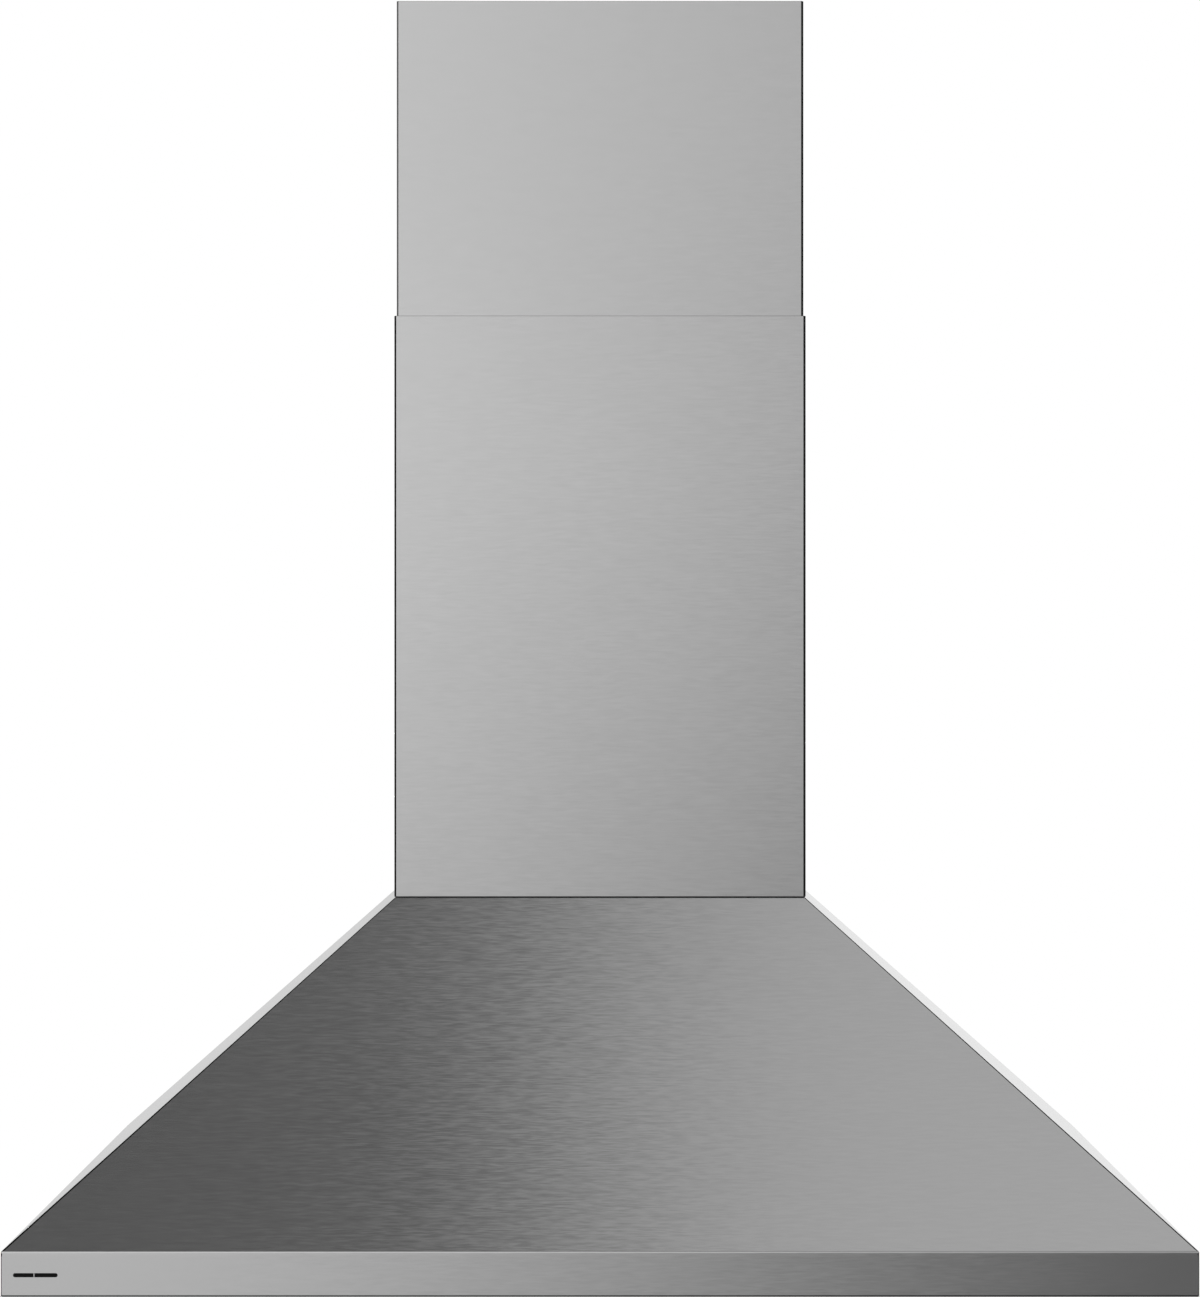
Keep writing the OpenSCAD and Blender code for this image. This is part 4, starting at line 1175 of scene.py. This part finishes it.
def make_impeller():
    low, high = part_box("impeller")
    end = (high.x - low.x) / 2 / MM
    blade = make_blade((end - 1.5) * MM)
    wheel = [copied(blade, f"blade_{i}", turn=around_fan(i, BLADES)) for i in range(BLADES)]
    bpy.data.objects.remove(blade)
    rim = [(81, -3), (84.6, -3), (85, -2.6), (85, -0.8), (84.2, 0), (81.8, 0), (81, -0.8), (81, -3)]
    for axis in ("x", "-x"):
        wheel.append(turned("ring_" + axis, [(r, end + x) for r, x in rim], axis=axis, sides=120))
    wheel.append(turned("disc", [
        (4.1, -20), (11.2, -20), (12, -19.2), (12, -4), (12.6, -1.9), (14.5, -0.75), (40, -0.75), (41, -0.3),
        (62, -0.3), (63, -0.75), (84.6, -0.75), (85, -0.4), (85, 0.4), (84.6, 0.75), (14.5, 0.75),
        (12.6, 1.9), (12, 3), (12, 4.2), (11.2, 5), (4.1, 5), (4.1, -20)], axis="x", sides=120))
    dress(smooth(at_fan(joined("fan_wheel", wheel)), 35), "impeller")


def make_motor():
    """The motor off the lathe, with cooling slots in both ends, two grooves round it and its tie bolts."""
    body = turned("fan_motor", [
        (4.6, -60), (4.6, -22.4), (5, -22), (15, -22), (15.4, -22.4), (16, -22.4), (16.4, -22), (41, -22),
        (42, -23), (42, -27.6), (42.4, -28), (44.5, -28), (45, -28.5), (45, -43.8), (44.3, -44.4),
        (44.3, -47.4), (45, -48), (45, -72), (44.3, -72.6), (44.3, -75.6), (45, -76.2), (45, -91.5),
        (44.5, -92), (42.4, -92), (42, -92.4), (42, -97), (41, -98), (12.8, -98), (12, -98.8), (12, -100.4),
        (11.4, -101), (6, -101)], axis="x", sides=96)
    slots = []
    for i in range(12):
        for x in (-98, -22):
            slot = block(f"slot_{i}_{x}", ((x - 3) * MM, 19 * MM, -2 * MM), ((x + 3) * MM, 34 * MM, 2 * MM))
            round_edges(slot, 1.6 * MM, 3)
            slot.data.transform(around_fan(i, 12))
            slots.append(slot)
    cut(body, joined("slots", slots))
    dress(smooth(at_fan(body), 30), "motor")
    bolts = []
    for i in range(4):
        head = [(3.1, 97.6), (3.5, 98), (3.5, 100), (3, 100.4)]
        bolt = turned(f"bolt_{i}", head, (0, 38 * MM, 0), "-x", sides=6)
        bolt.data.transform(around_fan(i + 0.5, 4))
        bolts.append(bolt)
    added(at_fan(joined("motor_bolts", bolts)), "screw_steel")


def make_shaft():
    low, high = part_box("motor_shaft")
    end = (high.x - low.x) / MM
    shaft = turned("fan_shaft", [
        (3.3, 0), (4, 0.7), (4, end - 4), (3.6, end - 3.7), (3.6, end - 2.7), (4, end - 2.4), (4, end - 0.7),
        (3.3, end)], (low.x, FAN_Y, FAN_Z), "x")
    dress(smooth(shaft, 30), "motor_shaft")


# Outlet and damper

PIN_Z = 318 * MM


def make_collar():
    """The outlet collar with its moulded clamp grooves, and the screws in its flange's corners."""
    low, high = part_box("outlet_collar")
    y = (low.y + high.y) / 2
    collar = pressed("outlet_collar", "duct_spigot")
    round_edges(collar, 0.3 * MM)
    grooves = []
    for z in (344, 348, 352):
        profile = [(74.5, z), (77, z), (77, z + 1.4), (74.5, z + 1.4), (74.5, z)]
        grooves.append(turned(f"groove_{z}", profile, (0, y, 0), sides=120))
    cut(collar, joined("grooves", grooves))
    dress(smooth(collar), "outlet_collar")
    inset = 5.5 * MM
    x, half, top = high.x - inset, (high.y - low.y) / 2 - inset, low.z + 2 * MM
    spots = [(side * x, y + end * half, top) for side in (-1, 1) for end in (-1, 1)]
    added(repeated(sheet_screw("flange_screw"), "flange_screws", spots), "screw_steel")


def make_damper():
    """The two flaps with ribs moulded on top, and their pin."""
    low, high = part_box("outlet_collar")
    y = (low.y + high.y) / 2
    for node, side in (("damper_flap_front", -1), ("damper_flap_back", 1)):
        flap = pressed(node, node.replace("flap", "leaf"))
        ribs = [flap]
        for i, angle in enumerate((-50, -25, 0, 25, 50)):
            rib = block(f"rib_{i}", (-0.6 * MM, 9 * MM, 0.3 * MM), (0.6 * MM, 66 * MM, 1.3 * MM))
            with editing(rib):
                pick_faces(rib, lambda middle, normal: normal.y > 0.9)
                bpy.ops.transform.resize(value=(1, 1, 0.3), center_override=(0, 66 * MM, 0.3 * MM))
            turn = Matrix.Rotation(math.radians(angle + (180 if side < 0 else 0)), 4, "Z")
            rib.data.transform(Matrix.Translation((0, y, PIN_Z)) @ turn)
            ribs.append(rib)
        dress(smooth(round_edges(joined(flap.name, ribs), 0.12 * MM)), node)
    low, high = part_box("damper_pin")
    end = (high.x - low.x) / MM
    profile = [(1.1, 0), (1.5, 0.4), (1.5, end - 0.4), (1.1, end)]
    pin = turned("hinge_pin", profile, (low.x, y, PIN_Z), "x", 24)
    dress(smooth(pin, 30), "damper_pin")


make_side_screws("cover_screws", [(-40, 293), (-180, 293)])
make_side_screws("upper_screws", [(-25, 1008)])
make_hangers()
make_impeller()
make_motor()
make_shaft()
make_collar()
make_damper()

# Electrics on the top frame

LEAD_R = 3 * MM
LEAD_BEND = 14 * MM


def make_junction_box():
    round_corners("junction_box", "mains_box", 0.4)
    round_corners("junction_lid", "mains_box_lid", 0.5)
    low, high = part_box("junction_lid")
    inset = 6 * MM
    spots = [(x, high.y - inset, high.z - 0.1 * MM) for x in (low.x + inset, high.x - inset)]
    added(repeated(sheet_screw("lid_screw"), "lid_screws", spots), "screw_steel")


def make_terminal_block():
    """Four terminals, each with a slotted brass screw at each end in a well, and a wire hole on each side."""
    low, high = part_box("terminal_block")
    x, y, top = (low.x + high.x) / 2, (low.y + high.y) / 2, high.z
    body = pressed("terminal_block", "terminal_strip")
    round_edges(body, 0.4 * MM)
    wells, screws = [], []
    for i in range(4):
        way_y = y + (6 * i - 9) * MM
        for side, end in ((-1, low.x), (1, high.x)):
            place, name = Vector((x + side * 5 * MM, way_y, top)), f"{i}_{side}"
            wells.append(turned("well_" + name, [(1.5, -5), (1.5, 1)], place, sides=24))
            wells.append(turned("hole_" + name, [(1.6, -3), (1.6, 3)], (end, way_y, low.z + 6 * MM), "x", 24))
            screw = turned("terminal_screw_" + name, [(1.4, -5.2), (1.4, -1.9), (1.2, -1.6)], place, sides=24)
            reach = Vector((2, 0.25, 0)) * MM
            slot = block("slot", place - reach - Vector((0, 0, 2.3 * MM)), place + reach)
            screws.append(cut(screw, slot))
    cut(body, joined("wells", wells))
    dress(smooth(body, 30), "terminal_block")
    added(joined("terminal_screws", screws), "screw_steel", BRASS)


def make_gland():
    """The cable gland: hexagon flange, ribbed clamping nut, and a threaded neck with its locknut below.
    Heights are in millimetres above the lid."""
    low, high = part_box("cable_gland")
    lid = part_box("junction_lid")[1].z
    flange = turned("gland_flange", [
        (4.6, 0), (10.6, 0), (11.5, 0.5), (11.5, 4.5), (10.6, 5), (4.6, 5), (4.6, 0)], sides=6)
    nut = turned("gland_nut", [
        (4.2, 5), (9.4, 5), (10, 5.5), (10, 11.5), (9.5, 13), (8.3, 14.6), (6.6, 15.7), (5.4, 16),
        (4.6, 15.8), (4.2, 15.2), (4.2, 5)], sides=96)
    ribs = []
    for i in range(16):
        rib = block(f"rib_{i}", (9.5 * MM, -0.7 * MM, 5.8 * MM), (11 * MM, 0.7 * MM, 13 * MM))
        rib.data.transform(Matrix.Rotation(math.radians(i * 22.5), 4, "Z"))
        ribs.append(rib)
    cut(nut, joined("ribs", ribs))
    foot = (low.z - lid) / MM
    threads = [(7.4 if i % 2 else 7.9, foot + 0.4 + 0.9 * i) for i in range(10)]
    neck = turned("gland_neck", [(4.2, foot), (7.4, foot), *threads, (7.9, 0), (4.2, 0), (4.2, foot)])
    lock = turned("gland_locknut", [
        (7.5, -6), (9.3, -6), (10, -5.5), (10, -2.5), (9.3, -2), (7.5, -2), (7.5, -6)], sides=6)
    gland = joined("cord_gland", [flange, nut, neck, lock])
    gland.data.transform(Matrix.Translation(((low.x + high.x) / 2, (low.y + high.y) / 2, lid)))
    dress(smooth(gland, 30), "cable_gland")


def make_grommets():
    low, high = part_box("lead_grommets")
    x, lip = (low.x + high.x) / 2, (high.x - low.x) / 2
    profile = [
        (3.15, 0), (7.6, 0), (8.25, 0.5), (8.25, 1), (7.8, 1.45), (6, 1.5), (6, 2.8), (5.8, 3), (3.4, 3),
        (3.15, 2.8), (3.15, 0)]
    rings = [turned(f"grommet_{i}", profile, (x, y, low.z))
             for i, y in enumerate((low.y + lip, high.y - lip))]
    dress(smooth(joined("rubber_grommets", rings), 35), "lead_grommets")


def make_capacitor():
    """The motor's capacitor: a moulded can with a crimped end and two pairs of blade terminals."""
    low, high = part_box("capacitor")
    x, z, end = (low.x + high.x) / 2, (low.z + high.z) / 2, (high.y - low.y) / MM
    can = turned("run_capacitor", [
        (8, 0), (10.4, 0), (11, 0.6), (11, 3.4), (11.4, 4), (13.8, 4), (15, 5), (15, 7), (14.5, 7.6),
        (14.5, 8.4), (15, 9), (15, end - 1.5), (14.6, end - 0.6), (13.6, end)], (x, low.y, z), "y", 72)
    dress(smooth(can, 30), "capacitor")
    tabs = []
    for offset in (-7, -2.8, 2.8, 7):
        place = Vector((x + offset * MM, low.y, z))
        tip, root = place - Vector((0.4, 7, 3.1)) * MM, place + Vector((0.4, 0, 3.1)) * MM
        tab = block(f"tab_{len(tabs)}", tip, root)
        with editing(tab):
            pick_faces(tab, lambda middle, normal: normal.y < -0.9)
            bpy.ops.transform.resize(value=(0.5, 1, 0.6), center_override=place)
        tabs.append(round_edges(tab, 0.1 * MM))
    added(joined("capacitor_tabs", tabs), "screw_steel", BRASS, limit=40)


def make_long_leads():
    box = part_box("junction_box")
    x, top = (box[0].x + box[1].x) / 2, box[0].z + 6 * MM
    lift = FAN_Z + 25 * MM
    motor = rounded_path([(x, FAN_Y, top), (x, FAN_Y, lift), (-98 * MM, FAN_Y, lift)], LEAD_BEND)
    dress(smooth(lead("motor_cable", motor, LEAD_R)), "motor_lead")
    start_y = FAN_Y - 30 * MM
    low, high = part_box("control_box")
    entry_x, y, run_z = -66 * MM, (low.y + high.y) / 2, high.z + 20 * MM
    control = rounded_path([(x, start_y, top), (x, start_y, run_z), (x, y, run_z), (entry_x, y, run_z),
                            (entry_x, y, high.z)], LEAD_BEND)
    dress(smooth(lead("control_cable", control, LEAD_R)), "control_lead")


make_junction_box()
make_terminal_block()
make_gland()
make_grommets()
make_capacitor()
make_long_leads()

# Every CAD node that still shows takes its slot's finish

for node, part in parts.items():
    if not nodes[node].hide_render:
        mesh = nodes[node].data
        mesh.materials.clear()
        mesh.materials.append(FINISHES[part["material_slot"]])
